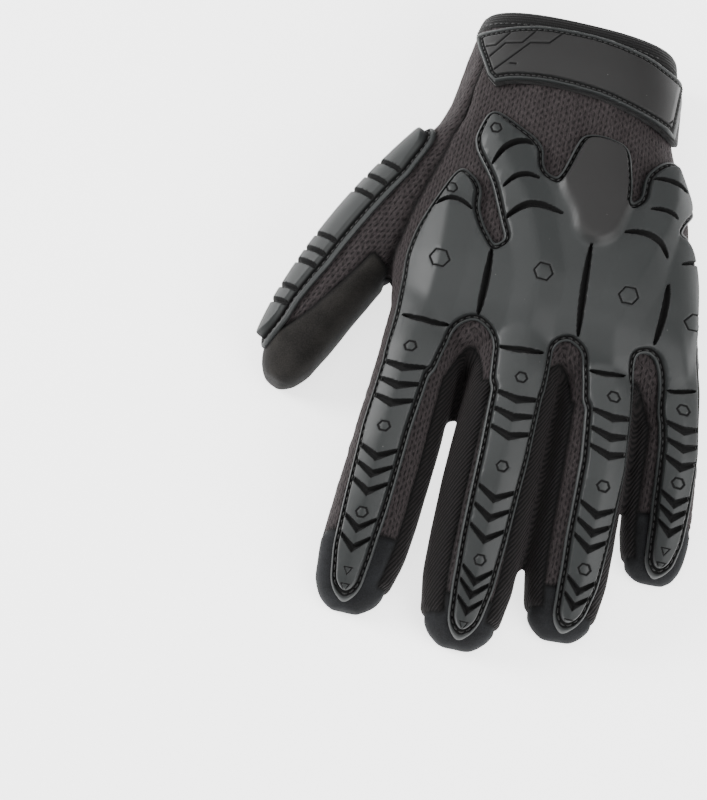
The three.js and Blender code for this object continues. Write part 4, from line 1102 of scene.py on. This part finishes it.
def moulded_rubber(name, base, light, deep, wear_and_bead_highlight):
    """Thermoplastic rubber, injection moulded with a fine spark texture: a soft broad gleam."""
    material, tree = new_material(name)
    place = add(tree, "ShaderNodeTexCoord").outputs["Object"]
    sunk = add(tree, "ShaderNodeAttribute", attribute_name="sunk").outputs["Fac"]
    plain = add(tree, "ShaderNodeAttribute", attribute_name="plain").outputs["Fac"]
    edge = add(tree, "ShaderNodeAttribute", attribute_name="edge").outputs["Fac"]
    # The spark texture is about 0.15 mm from peak to peak.
    grain = add(tree, "ShaderNodeTexNoise", {"Vector": place, "Scale": 6500.0, "Detail": 2.0})
    bloom = add(tree, "ShaderNodeTexNoise", {"Vector": place, "Scale": 60.0, "Detail": 4.0})
    tone = add(tree, "ShaderNodeMix", {0: bloom, 6: linear(base), 7: linear(light)}, data_type="RGBA")
    browner = add(tree, "ShaderNodeMix", {0: plain, 6: tone.outputs[2], 7: linear("#1b1919")},
                  data_type="RGBA")
    # Specks of lint lie about 8 mm apart.
    dust = add(tree, "ShaderNodeTexVoronoi", {"Vector": place, "Scale": 120.0})
    speck = add(tree, "ShaderNodeMapRange", {
        "Value": dust, "From Min": 0.02, "From Max": 0.035, "To Min": 0.3, "To Max": 0.0})
    dusty = add(tree, "ShaderNodeMix", {0: speck, 6: browner.outputs[2], 7: linear("#7a7a77")},
                data_type="RGBA")
    # Painted highlight: the bead along the outer edge is mixed towards a lighter grey, as if it caught the
    # light.
    bead_highlight_amount = add(tree, "ShaderNodeMath", {0: edge, 1: 0.6}, operation="MULTIPLY")
    bead_highlighted = add(tree, "ShaderNodeMix", {0: bead_highlight_amount, 6: dusty.outputs[2], 7: linear(wear_and_bead_highlight)},
                  data_type="RGBA")
    # Painted shade: where the attribute marks sunk grooves, stud outlines and sewn channels, the colour
    # darkens to near black and turns rough.
    dark = add(tree, "ShaderNodeMapRange", {"Value": sunk, "From Min": 0.05, "From Max": 0.6})
    colour = add(tree, "ShaderNodeMix", {0: dark, 6: bead_highlighted.outputs[2], 7: linear(deep)},
                 data_type="RGBA")
    gleam = add(tree, "ShaderNodeMapRange", {"Value": bloom, "To Min": 0.42, "To Max": 0.56})
    rough = add(tree, "ShaderNodeMix", {0: dark, 2: gleam, 3: 0.95})
    bump = add(tree, "ShaderNodeBump", {"Height": grain, "Strength": 0.3, "Distance": 0.0001})
    shader = add(tree, "ShaderNodeBsdfPrincipled", {
        "Base Color": colour.outputs[2], "Roughness": rough, "Normal": bump, "Specular IOR Level": 0.3})
    add(tree, "ShaderNodeOutputMaterial", {"Surface": shader})
    return material


def refine(skin, chosen):
    """Each chosen triangle in four, and its neighbours cut to fit."""
    edges, of_tri = edges_of(skin["tris"])
    marked = np.zeros(len(edges), bool)
    marked[of_tri[chosen].ravel()] = True
    return split(skin, marked, np.full(len(edges), 0.5))


def corner_mean(skin, values):
    return values[skin["tris"]].mean(1)


def smoothed(skin, steps):
    """The skin with each corner drawn in and out in turn by its neighbours, so it keeps its size."""
    edges, _ = edges_of(skin["tris"])
    a, b = edges.T
    count = np.bincount(edges.ravel(), minlength=len(skin["at"])).astype(float)[:, None]
    rim = np.unique(rim_edges(skin["tris"]))
    at, out = skin["at"].copy(), skin["out"].copy()
    for step in range(steps):
        for values, pull in ((at, 0.5 if step % 2 == 0 else -0.48), (out, 0.5)):
            total = np.zeros_like(values)
            np.add.at(total, a, values[b])
            np.add.at(total, b, values[a])
            moved = values + pull * (total / count - values)
            moved[rim] = values[rim]
            values[:] = moved
    out /= np.linalg.norm(out, axis=1)[:, None]
    return {"at": at, "out": out, "tris": skin["tris"]}


def outlined_skin(field, reach, steps, feature, fine, levels):
    """The skin inside an outline, smoothed, with fine corners by its features and edges on its levels."""
    skin = keep(glove_skin, corner_mean(glove_skin, field(glove_skin["at"])) < reach)
    skin = smoothed(skin, steps)
    for near in fine:
        skin = refine(skin, corner_mean(skin, np.abs(feature(skin["at"]))) < near)
    for level in levels:
        skin, value = cut(skin, field, level, 0.2)
    return keep(skin, value[skin["tris"]].sum(1) < 0)


# How far in from the outline the bead ends, the thread runs and the wall's foot and top stand, and how
# high the bead's edge, the sewn channel's floor and the raised boss are.
BEAD = 0.9
STITCH_LINE = 1.5
WALL_FOOT = 2.1
WALL_TOP = 3.1
BEAD_EDGE = 0.5
CHANNEL = 0.75
BOSS_HEIGHT = 0.35
GUARD_CREASE = 32.0


def guard_skin_of(field, feature):
    return outlined_skin(field, 5, 24, feature, (3.2, 1.3), (-WALL_TOP, -WALL_FOOT, -BEAD, 0.0))


def guard_height(inner, fall, sunk):
    """Height of the moulding's face: a bead round a thin flange, then a steep wall up to the body."""
    bead = FLANGE * np.sqrt(np.clip(1 - (1 - np.clip(inner / BEAD, 0, 2)) ** 2, 0, 1))
    floor_of_channel = CHANNEL + (FLANGE - CHANNEL) * (1 - rise(BEAD, BEAD + 0.35, inner))
    flange = np.where(inner < BEAD, np.maximum(bead, BEAD_EDGE), floor_of_channel)
    wall = np.sin(np.clip((inner - WALL_FOOT) / (WALL_TOP - WALL_FOOT), 0, 1) * np.pi / 2)
    return GAP + flange + wall * (GUARD - CHANNEL + 0.9 - fall) - sunk


def on_body(inner):
    """From 0 at the wall to 1 on the body."""
    return np.clip((inner - WALL_TOP + 0.8) / 0.8, 0, 1)


def moulding(name, skin, inner, fall, sunk, dark, raised):
    """A guard: its marks and sewn channel darkened by painted shade, its plain raised field, and a painted
    highlight on its bead.
    """
    # Painted shade in the sewn channel between the bead and the wall, and in the sunk marks.
    channel_shade_mask = rise(BEAD, BEAD + 0.3, inner) * (1 - rise(WALL_FOOT, WALL_FOOT + 0.5, inner))
    height = guard_height(inner, fall, sunk) + BOSS_HEIGHT * raised
    return make_piece(name, skin, height, -0.2, {
        "sunk": np.maximum(dark, 0.75 * channel_shade_mask), "plain": 0.8 * raised,
        # Painted highlight on the bead along the outer edge.
        "edge": rise(0.0, 0.3, inner) * (1 - rise(BEAD - 0.3, BEAD, inner))}, rubber, GUARD_CREASE)


def sloped(away):
    """How far a face that slopes off a soft ridge has fallen."""
    return np.minimum(RIDGE_SLOPE * (np.hypot(away, RIDGE_ROUND) - RIDGE_ROUND), RIDGE_FALL)


# How deep the plate's grooves, the strips' chevrons and the outlined studs and shields are sunk.
GROOVE_DEPTH = 2.4
CHEVRON_DEPTH = 2.1
STUD_DEPTH = 0.5
SMALL_STUD_DEPTH = 0.45
SHIELD_DEPTH = 0.4
SHIELD = 1.6


def groove_depth(deep, depth):
    """A groove's depth, with steep sides and a flat floor."""
    return depth * np.clip(deep * 1.5, 0, 1) ** 0.8


def guard_marks(points, wide=0.0):
    """What is sunk into the knuckle guard, in millimetres, and how dark its painted shade makes each mark.
    """
    flat = moulding_line(points)
    sunk = np.zeros(len(points))
    dark = np.zeros(len(points))
    # Painted shade: grooves, chevrons, stud outlines and shields each get a darkness for the colour.
    for start, middle, end, half in PLATE_GROOVES:
        start, middle, end = on_back([start, middle, end])
        reach = np.linalg.norm(end - start) / 2 + 4
        near = np.linalg.norm(flat - middle, axis=1) < reach
        deep = groove(flat[near], start, middle, end, half + wide)
        sunk[near] = np.maximum(sunk[near], groove_depth(deep, GROOVE_DEPTH))
        dark[near] = np.maximum(dark[near], np.clip(deep * 8, 0, 1))
    for rows, radius in ((KNUCKLE_STUDS, KNUCKLE_STUD), (SMALL_STUDS, SMALL_STUD)):
        for foot in on_back(rows):
            offset = flat - foot
            ring = ring_mark(offset[:, 0], offset[:, 1], radius, 6, wide)
            sunk = np.maximum(sunk, STUD_DEPTH * ring)
            dark = np.maximum(dark, np.clip(1.6 * ring, 0, 0.9))
    for name, finger in FINGERS.items():
        across, up, share = strip_place(finger, points)
        half = STRIP("half", share) * finger["width"]
        on = (up > ON_TOP) & (share > 0.1) & (np.abs(across) < half + 1)
        studs, chevrons, shields = STRIP_MARKS[name]
        for place in chevrons:
            along = (share - place) * finger["length"]
            slope = along + np.abs(across) * (0.3 + 1.2 * max(0, place - 0.35)) - 0.3
            taper = 0.5 + 0.6 * np.clip(1 - np.abs(across) / (half + 0.1), 0, 1)
            deep = on * np.clip(1 - np.abs(slope) / (1.5 * taper + wide), 0, 1)
            sunk = np.maximum(sunk, groove_depth(deep, CHEVRON_DEPTH))
            dark = np.maximum(dark, np.clip(deep * 8, 0, 1))
        for place in studs:
            ring = on * ring_mark(across, (share - place) * finger["length"], SMALL_STUD, 6, wide)
            sunk = np.maximum(sunk, SMALL_STUD_DEPTH * ring)
            dark = np.maximum(dark, np.clip(1.6 * ring, 0, 0.9))
        for place in shields:
            ring = on * ring_mark(across, (place - share) * finger["length"], SHIELD, 3, wide)
            sunk = np.maximum(sunk, SHIELD_DEPTH * ring)
            dark = np.maximum(dark, np.clip(1.5 * ring, 0, 0.85))
    return sunk, dark


def near_lines(field, marks, most):
    """Like a distance: small by a guard's edge and its wall, and nought on its marks."""
    lines = np.minimum(np.abs(-field - WALL_FOOT), np.abs(field))
    return np.where(marks > 0, 0.0, np.minimum(lines, most))


def guard_feature(points):
    return near_lines(guard_field(points), guard_marks(points, 1.2)[0], 3.5)


def drawn_piece(name, corners, faces, material, lowest):
    """A piece from its corners and faces, held over the table."""
    corners = np.concatenate(corners)
    corners[:, 2] = np.maximum(corners[:, 2], lowest)
    mesh = bpy.data.meshes.new(name)
    mesh.from_pydata(((corners + PLACE) * MM).tolist(), [], faces)
    mesh.polygons.foreach_set("use_smooth", np.ones(len(faces), bool))
    mesh.materials.append(material)
    piece = bpy.data.objects.new(name, mesh)
    bpy.context.collection.objects.link(piece)
    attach(piece, "root")
    return piece


def length_along(path):
    """The length of a path up to each of its points."""
    return np.concatenate(([0], np.cumsum(np.linalg.norm(np.diff(path, axis=0), axis=1))))


THREAD = 0.34
STITCH_PITCH = 3.0
STITCH_SHARE = 0.72


def stitches(name, lines, material, pitch=STITCH_PITCH, thick=THREAD):
    """A piece of short thread lengths, sunk at both ends, set along lines of points and normals."""
    corners, faces = [], []
    sides, rings = 6, 7
    bow = np.sin(np.linspace(0, np.pi, rings))
    width = thick * (0.35 + 0.65 * np.sqrt(bow))
    turn = np.linspace(0, 2 * np.pi, sides, endpoint=False)
    for points, normals in lines:
        run = length_along(points)
        for start in np.arange(0.3 * pitch, run[-1] - 0.8 * pitch, pitch):
            ends = np.linspace(start, start + STITCH_SHARE * pitch, rings)
            path = np.stack([np.interp(ends, run, points[:, axis]) for axis in range(3)], 1)
            up = np.stack([np.interp(ends, run, normals[:, axis]) for axis in range(3)], 1)
            up /= np.linalg.norm(up, axis=1)[:, None]
            ahead = path[-1] - path[0]
            ahead /= max(np.linalg.norm(ahead), 1e-6)
            side = np.cross(ahead, up)
            middle = path + up * (0.75 * thick * bow - 0.35 * thick)[:, None]
            ring = side[:, None] * np.cos(turn)[None, :, None]
            ring = ring + up[:, None] * np.sin(turn)[None, :, None] * 0.8
            foot = len(corners) * sides * rings
            corners.append((middle[:, None] + ring * width[:, None, None]).reshape(-1, 3))
            for k in range(rings - 1):
                for s in range(sides):
                    a, b = foot + k * sides + s, foot + k * sides + (s + 1) % sides
                    faces.append((a, b, b + sides, a + sides))
            faces.append(tuple(foot + s for s in range(sides))[::-1])
            faces.append(tuple(foot + (rings - 1) * sides + s for s in range(sides)))
    piece = drawn_piece(name, corners, faces, material, 0.02)
    return piece


def thread(name, code):
    """Bonded nylon sewing thread: a faint gleam on each twisted ply."""
    material, tree = new_material(name)
    place = add(tree, "ShaderNodeTexCoord").outputs["Object"]
    # Plies twist every 0.6 mm.
    twist = add(tree, "ShaderNodeTexWave", {"Vector": place, "Scale": 520.0, "Distortion": 2.0})
    ply = twist.outputs["Fac"]
    colour = add(tree, "ShaderNodeMix", {0: ply, 6: linear(code), 7: linear("#050505")}, data_type="RGBA")
    shader = add(tree, "ShaderNodeBsdfPrincipled", {
        "Base Color": colour.outputs[2], "Roughness": 0.55, "Specular IOR Level": 0.4})
    add(tree, "ShaderNodeOutputMaterial", {"Surface": shader})
    return material


def sewn_line(skin, field, level, height):
    """Points and normals along a field's level on the skin, at a height over it."""
    done, value = cut(skin, field, level, 0.3)
    lines = []
    for run in runs_along(done, value):
        points = done["at"][run] + done["out"][run] * height
        if len(run) > 8:
            bell = np.array((1, 2, 3, 2, 1)) / 9
            for axis in range(3):
                points[2:-2, axis] = np.convolve(points[:, axis], bell, "valid")
            lines.append((points, done["out"][run]))
    return lines


# Of these colours, the near black is painted shade for the sunk marks and channels, and the lightest grey
# is a painted highlight for the bead.
rubber = moulded_rubber("moulded_thermoplastic_rubber", "#1f2121", "#252727", "#030303", "#343636")
guard_skin = guard_skin_of(guard_field, guard_feature)
inner = -guard_field(guard_skin["at"])
sunk, dark = guard_marks(guard_skin["at"])
plateau = rise(-2.5, 2.0, -boss_map(moulding_line(guard_skin["at"])))
fall = sloped(off_ridge(guard_skin["at"])) * (1 - plateau)
body = on_body(inner)
guard = moulding("knuckle_guard_rubber", guard_skin, inner, fall, sunk * body, dark * body, plateau * body)
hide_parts("knuckle_guard")
black_thread = thread("bonded_nylon_thread", "#2a2a2a")
hem_line = sewn_line(glove_skin, cuff_line, BINDING_WIDTH - HEM_STITCH, HEM_HEIGHT)
stitches("cuff_binding_stitches", hem_line, black_thread, 2.6, 0.26)
STITCH_HEIGHT = GAP + CHANNEL + 0.1
flange_line = sewn_line(guard_skin, guard_field, -STITCH_LINE, STITCH_HEIGHT)
stitches("knuckle_guard_stitches", flange_line, black_thread)

# ---- Thumb guard ----
# A second moulding of the same rubber runs down the outer side of the thumb: a domed pad and then
# blocks parted by straight grooves. Its flange is sewn to the thumb's mesh.

THUMB_STRIP = table(
    "half turn",
    (0.03, 0.06, 0.75), (0.1, 0.1, 0.78), (0.17, 0.2, 0.85), (0.26, 0.29, 0.92), (0.4, 0.31, 1),
    (0.65, 0.28, 1), (0.85, 0.2, 1), (0.93, 0.08, 0.95))
THUMB_LEAN = math.radians(-62)
THUMB_GROOVES = [0.27, 0.33, 0.39, 0.57, 0.625, 0.67, 0.76, 0.81]
THUMB_GUARD_START = 0.1
THUMB_GUARD_END = 0.93
THUMB_GROOVE = 1.1


def thumb_strip_place(points):
    place = to_thumb(points)
    share = -place[:, 1] / THUMB_LENGTH
    return *leaning(place, thumb_at(share), THUMB_LEAN * THUMB_STRIP("turn", share)), share


def thumb_field(points):
    """Negative inside the thumb guard's outline."""
    across, up, share = thumb_strip_place(points)
    side = np.abs(across) - THUMB_STRIP("half", share) * THUMB_WIDTH - FLANGE_WIDTH
    ends = np.maximum(THUMB_GUARD_START - share, share - THUMB_GUARD_END) * THUMB_LENGTH - FLANGE_WIDTH
    return np.where(up > ON_TOP, -smooth_min(-side, -ends, TIP_ROUND), OUTSIDE)


def thumb_marks(points):
    _, up, share = thumb_strip_place(points)
    deep = np.zeros(len(points))
    for place in THUMB_GROOVES:
        deep = np.maximum(deep, np.clip(1 - np.abs(share - place) * THUMB_LENGTH / THUMB_GROOVE, 0, 1))
    return deep * (up > ON_TOP)


def thumb_feature(points):
    return near_lines(thumb_field(points), thumb_marks(points), 3.0)


thumb_guard_skin = guard_skin_of(thumb_field, thumb_feature)
inner = -thumb_field(thumb_guard_skin["at"])
across, _, _ = thumb_strip_place(thumb_guard_skin["at"])
deep = thumb_marks(thumb_guard_skin["at"]) * on_body(inner)
# The thumb guard's grooves are darkened with painted shade.
thumb_guard = moulding("thumb_guard_rubber", thumb_guard_skin, inner, sloped(across),
                       groove_depth(deep, CHEVRON_DEPTH), np.clip(deep * 8, 0, 1), np.zeros(len(inner)))
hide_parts("thumb_guard")
thumb_line = sewn_line(thumb_guard_skin, thumb_field, -STITCH_LINE, STITCH_HEIGHT)
stitches("thumb_guard_stitches", thumb_line, black_thread)

# ---- Wrist strap and its patch ----
# A strap of black webbing closes the cuff with hook and loop and runs across the back. A moulded
# rubber patch is sewn along it, with a thin stitched flange, a raised field and sunk zigzag lines.

STRAP = 1.8
PATCH = 1.6
PATCH_INSET = 0.66
STRAP_OUTLINE = softer(on_back([
    (-0.385, 1.0), (-0.372, 1.03), (-0.283, 1.075), (-0.189, 1.103), (-0.042, 1.11), (0.059, 1.098),
    (0.164, 1.07), (0.247, 1.022), (0.4, 0.93), (0.4, 0.7), (0.284, 0.779), (0.233, 0.816), (0.152, 0.848),
    (0.048, 0.879), (-0.053, 0.889), (-0.152, 0.89), (-0.248, 0.875), (-0.314, 0.842)]), 1)
STRAP_OVER = 2.2
STRAP_LOW_LEFT = 27
STRAP_LOW_RIGHT = 9
PATCH_LOW = 26
PATCH_RIGHT_END = 0.285


def strap_field(points, border=0.0):
    """Negative inside the strap's outline."""
    outline = outline_distance(moulding_line(points), STRAP_OUTLINE) + border
    side = (points[:, 0] + KNUCKLE_WIDTH / 2) / KNUCKLE_WIDTH
    edge = STRAP_LOW_LEFT + (STRAP_LOW_RIGHT - STRAP_LOW_LEFT) * side - points[:, 2]
    field = np.maximum(outline, edge + border)
    field = np.maximum(field, -cuff_line(points, BINDING_WIDTH - STRAP_OVER + border))
    return field


webbing = woven_elastic("polyester_webbing", "#060606", "#201f1f", 1.0)
skin = outlined_skin(strap_field, 4, 10, strap_field, (2.0,), (-0.8, 0.0))
inner = -strap_field(skin["at"])
high = GAP + STRAP * np.clip(0.7 + inner / 2.5, 0, 1)
strap = make_piece("wrist_strap_webbing", skin, high, -0.1, {"lay": lay_of(skin["at"])}, webbing)
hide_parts("wrist_strap")

# Zigzag lines of the patch, as shares of the knuckle width and the back length.
PATCH_LINES = [
    [(-0.345, 0.974), (-0.315, 0.987), (-0.278, 1.045)],
    [(-0.326, 0.942), (-0.288, 1.001), (-0.239, 1.015), (-0.203, 1.072)],
    [(-0.306, 0.898), (-0.215, 1.021), (-0.158, 1.034), (-0.121, 1.082)],
    [(-0.263, 0.932), (-0.246, 0.934)],
    [(0.246, 0.832), (0.268, 0.86), (0.284, 0.9)],
    [(0.272, 0.8), (0.284, 0.824)],
]
PATCH_LINE = 0.6
PATCH_LINE_DEPTH = 0.5
PATCH_BEAD = 1.1
PATCH_STITCH_LINE = 1.7
PATCH_FOOT = 2.3
PATCH_TOP = 2.9


def patch_field(points):
    """Negative inside the patch's outline, which stops short of the strap's sides and far end."""
    field = strap_field(points, PATCH_INSET)
    field = np.maximum(field, PATCH_LOW - points[:, 2])
    return np.maximum(field, points[:, 0] - PATCH_RIGHT_END * KNUCKLE_WIDTH)


def patch_marks(points):
    flat = moulding_line(points)
    deep = np.zeros(len(points))
    for rows in PATCH_LINES:
        deep = np.maximum(deep, np.clip(1 - line_distance(flat, on_back(rows)) / PATCH_LINE, 0, 1))
    return deep


def patch_feature(points):
    stitch_line = np.abs(patch_field(points) + PATCH_STITCH_LINE)
    return np.where(patch_marks(points) > 0, 0.0, np.minimum(stitch_line, 3.0))


patch_skin = outlined_skin(patch_field, 4, 10, patch_feature, (3.0, 1.3),
                           (-PATCH_TOP, -PATCH_FOOT, -PATCH_BEAD, 0.0))
inner = -patch_field(patch_skin["at"])
deep = patch_marks(patch_skin["at"]) * (inner > PATCH_TOP)
bead = 1.3 * np.sqrt(np.clip(1 - (1 - np.clip(inner / PATCH_BEAD * 1.6, 0, 2)) ** 2, 0, 1))
# Painted shade in the patch's sewn channel and its zigzag lines.
channel_shade_mask = rise(PATCH_BEAD, PATCH_BEAD + 0.3, inner) * (1 - rise(PATCH_FOOT, PATCH_FOOT + 0.4, inner))
border = np.where(inner < PATCH_BEAD, np.maximum(bead, 0.4),
                  0.6 + 0.3 * (1 - rise(PATCH_BEAD, PATCH_BEAD + 0.3, inner)))
field_rise = np.sin(np.clip((inner - PATCH_FOOT) / (PATCH_TOP - PATCH_FOOT), 0, 1) * np.pi / 2)
ending = np.clip((PATCH_RIGHT_END * KNUCKLE_WIDTH - patch_skin["at"][:, 0]) / 4, 0.3, 1)
high = GAP + STRAP + (border + (PATCH - 0.6) * field_rise) * ending - PATCH_LINE_DEPTH * deep
patch = make_piece("strap_patch_rubber", patch_skin, high, GAP + STRAP - 0.1, {
    "sunk": np.maximum(0.9 * deep, 0.8 * channel_shade_mask), "plain": 0.7 * field_rise,
    # Painted highlight on the patch's bead.
    "edge": rise(0.2, 0.6, inner) * (1 - rise(PATCH_BEAD - 0.3, PATCH_BEAD, inner))},
    rubber, GUARD_CREASE)
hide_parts("strap_patch")
patch_line = sewn_line(patch_skin, patch_field, -PATCH_STITCH_LINE, GAP + STRAP + 0.7)
stitches("strap_patch_stitches", patch_line, black_thread, 2.2, 0.28)

# ---- Pull tab ----
# A short loop of folded woven tape, caught in the cuff's hem on the palm side at the thumb's edge.

TAB_WIDTH = 9
TAB_END = 123.1
TAB_FOOT = 113.6
TAB_MIDDLE = -24.8
TAB_FOLD = 0.5
TAPE = 0.55


def folded_tape(name, material):
    """A flat loop of tape: out from the hem, over a round fold and back on itself."""
    turn = np.linspace(-np.pi / 2, np.pi / 2, 13)
    rest = TAPE / 2 + 0.02
    legs = np.linspace(TAB_FOOT, TAB_END - TAB_FOLD, 18)
    lower = np.stack((legs, np.full(18, rest)), 1)
    bend = np.stack((TAB_END - TAB_FOLD + TAB_FOLD * np.cos(turn),
                     rest + TAB_FOLD + TAB_FOLD * np.sin(turn)), 1)
    upper = np.stack((legs[::-1], np.full(18, rest + 2 * TAB_FOLD)), 1)
    path = np.concatenate((lower, bend[1:-1], upper))
    ahead = np.gradient(path, axis=0)
    ahead /= np.linalg.norm(ahead, axis=1)[:, None]
    away = np.stack((ahead[:, 1], -ahead[:, 0]), 1)
    columns = np.linspace(-1, 1, 15)
    corners, lay = [], []
    for side in (1, -1):
        for (y, z), (out_y, out_z), length in zip(path, away, length_along(path)):
            # Thin at both selvedges, with fine ribs along the tape.
            thin = side * TAPE / 2 * np.sqrt(1 - 0.9 * columns ** 8) * (1 - 0.12 * np.cos(columns * 26))
            x = TAB_MIDDLE + columns * (TAB_WIDTH / 2 - 0.15)
            corners.append(np.stack((x, y + out_y * thin, z + out_z * thin), 1))
            lay.append(np.stack((columns * TAB_WIDTH / 2, np.full(15, length), np.zeros(15)), 1))
    count, wide = len(path), len(columns)
    under = count * wide
    faces = []
    for i in range(count - 1):
        for j in range(wide - 1):
            a = i * wide + j
            faces.append((a, a + 1, a + wide + 1, a + wide))
            faces.append((a + under + wide, a + under + wide + 1, a + under + 1, a + under))
        a, b = i * wide, (i + 1) * wide
        faces.append((a, b, b + under, a + under))
        faces.append((b + wide - 1, a + wide - 1, a + wide - 1 + under, b + wide - 1 + under))
    for row in (0, (count - 1) * wide):
        for j in range(wide - 1):
            face = (row + j, row + j + under, row + j + 1 + under, row + j + 1)
            faces.append(face if row == 0 else face[::-1])
    piece = drawn_piece(name, corners, faces, material, 0.01)
    layer = piece.data.attributes.new("lay", "FLOAT_VECTOR", "POINT")
    layer.data.foreach_set("vector", np.concatenate(lay).astype(np.float32).ravel())
    return piece


tab = folded_tape("pull_tab_tape", woven_elastic("folded_woven_tape", "#060606", "#201f1f", 0.9))
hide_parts("pull_tab")
across_tab = np.stack((np.linspace(TAB_MIDDLE - 4, TAB_MIDDLE + 4, 12), np.full(12, TAB_FOOT + 1.6),
                       np.full(12, 2 * TAPE + 0.5)), 1)
upright = np.tile((0.0, 0.0, 1.0), (12, 1))
stitches("pull_tab_stitches", [(across_tab, upright)], black_thread, 2.0, 0.25)

# ---- Table, light and camera ----
# The glove lies on a plain pale table under soft studio light, seen from over the fingertips.


def look_along(right, up, place):
    right, up = Vector(right).normalized(), Vector(up).normalized()
    back = right.cross(up)
    matrix = Matrix((right, up, back)).transposed().to_4x4()
    matrix.translation = place
    return matrix


FLOOR_REACH = 4.0
floor_mesh = bpy.data.meshes.new("table_top")
floor_corners = [(x * FLOOR_REACH, y * FLOOR_REACH, 0) for x, y in ((-1, -1), (1, -1), (1, 1), (-1, 1))]
floor_mesh.from_pydata(floor_corners, [], [(0, 1, 2, 3)])
floor = bpy.data.objects.new("table_top", floor_mesh)
bpy.context.collection.objects.link(floor)
pale, tree = new_material("pale_painted_table")
paint = add(tree, "ShaderNodeBsdfPrincipled", {
    "Base Color": linear("#f8f8f8"), "Roughness": 0.9, "Specular IOR Level": 0.2,
    "Emission Color": linear("#ffffff"), "Emission Strength": 2.2})
add(tree, "ShaderNodeOutputMaterial", {"Surface": paint})
floor_mesh.materials.append(pale)

ELEVATION = math.radians(70)
ROLL_RIGHT = (0.978, 0.208)
LENS = 600
DISTANCE = 5.21
LOOK_AT = (-65.8, -55.7, 30)
up_plain = Vector((0, math.sin(ELEVATION), math.cos(ELEVATION)))
right_plain = Vector((1, 0, 0))
right = right_plain * ROLL_RIGHT[0] + up_plain * ROLL_RIGHT[1]
up = up_plain * ROLL_RIGHT[0] - right_plain * ROLL_RIGHT[1]
back_way = right.cross(up).normalized()
camera_data = bpy.data.cameras.new("camera")
camera_data.lens = LENS
camera_data.sensor_width = 36
camera_data.clip_end = 60
camera = bpy.data.objects.new("camera", camera_data)
bpy.context.collection.objects.link(camera)
target = Vector(((np.array(LOOK_AT) + PLACE) * MM).tolist())
camera.matrix_world = look_along(right, up, target + back_way * DISTANCE)
bpy.context.scene.camera = camera


def soft_box(name, place, aim, size, power):
    light = bpy.data.lights.new(name, "AREA")
    light.shape = "SQUARE"
    light.size = size
    light.energy = power
    lamp = bpy.data.objects.new(name, light)
    bpy.context.collection.objects.link(lamp)
    lamp.location = place
    lamp.rotation_euler = (Vector(aim) - Vector(place)).to_track_quat("-Z", "Y").to_euler()


soft_box("key_light", (-1.3, 0.15, 0.7), (0, 0, 0), 0.6, 38)
soft_box("fill_light", (1.1, -0.5, 1.0), (0, 0, 0), 1.2, 30)
soft_box("top_light", (0.0, 0.3, 1.8), (0, 0, 0), 1.4, 16)
world = bpy.data.worlds.new("studio")
bpy.context.scene.world = world
world.use_nodes = True
world.node_tree.nodes["Background"].inputs["Color"].default_value = linear("#ffffff")
world.node_tree.nodes["Background"].inputs["Strength"].default_value = 0.5
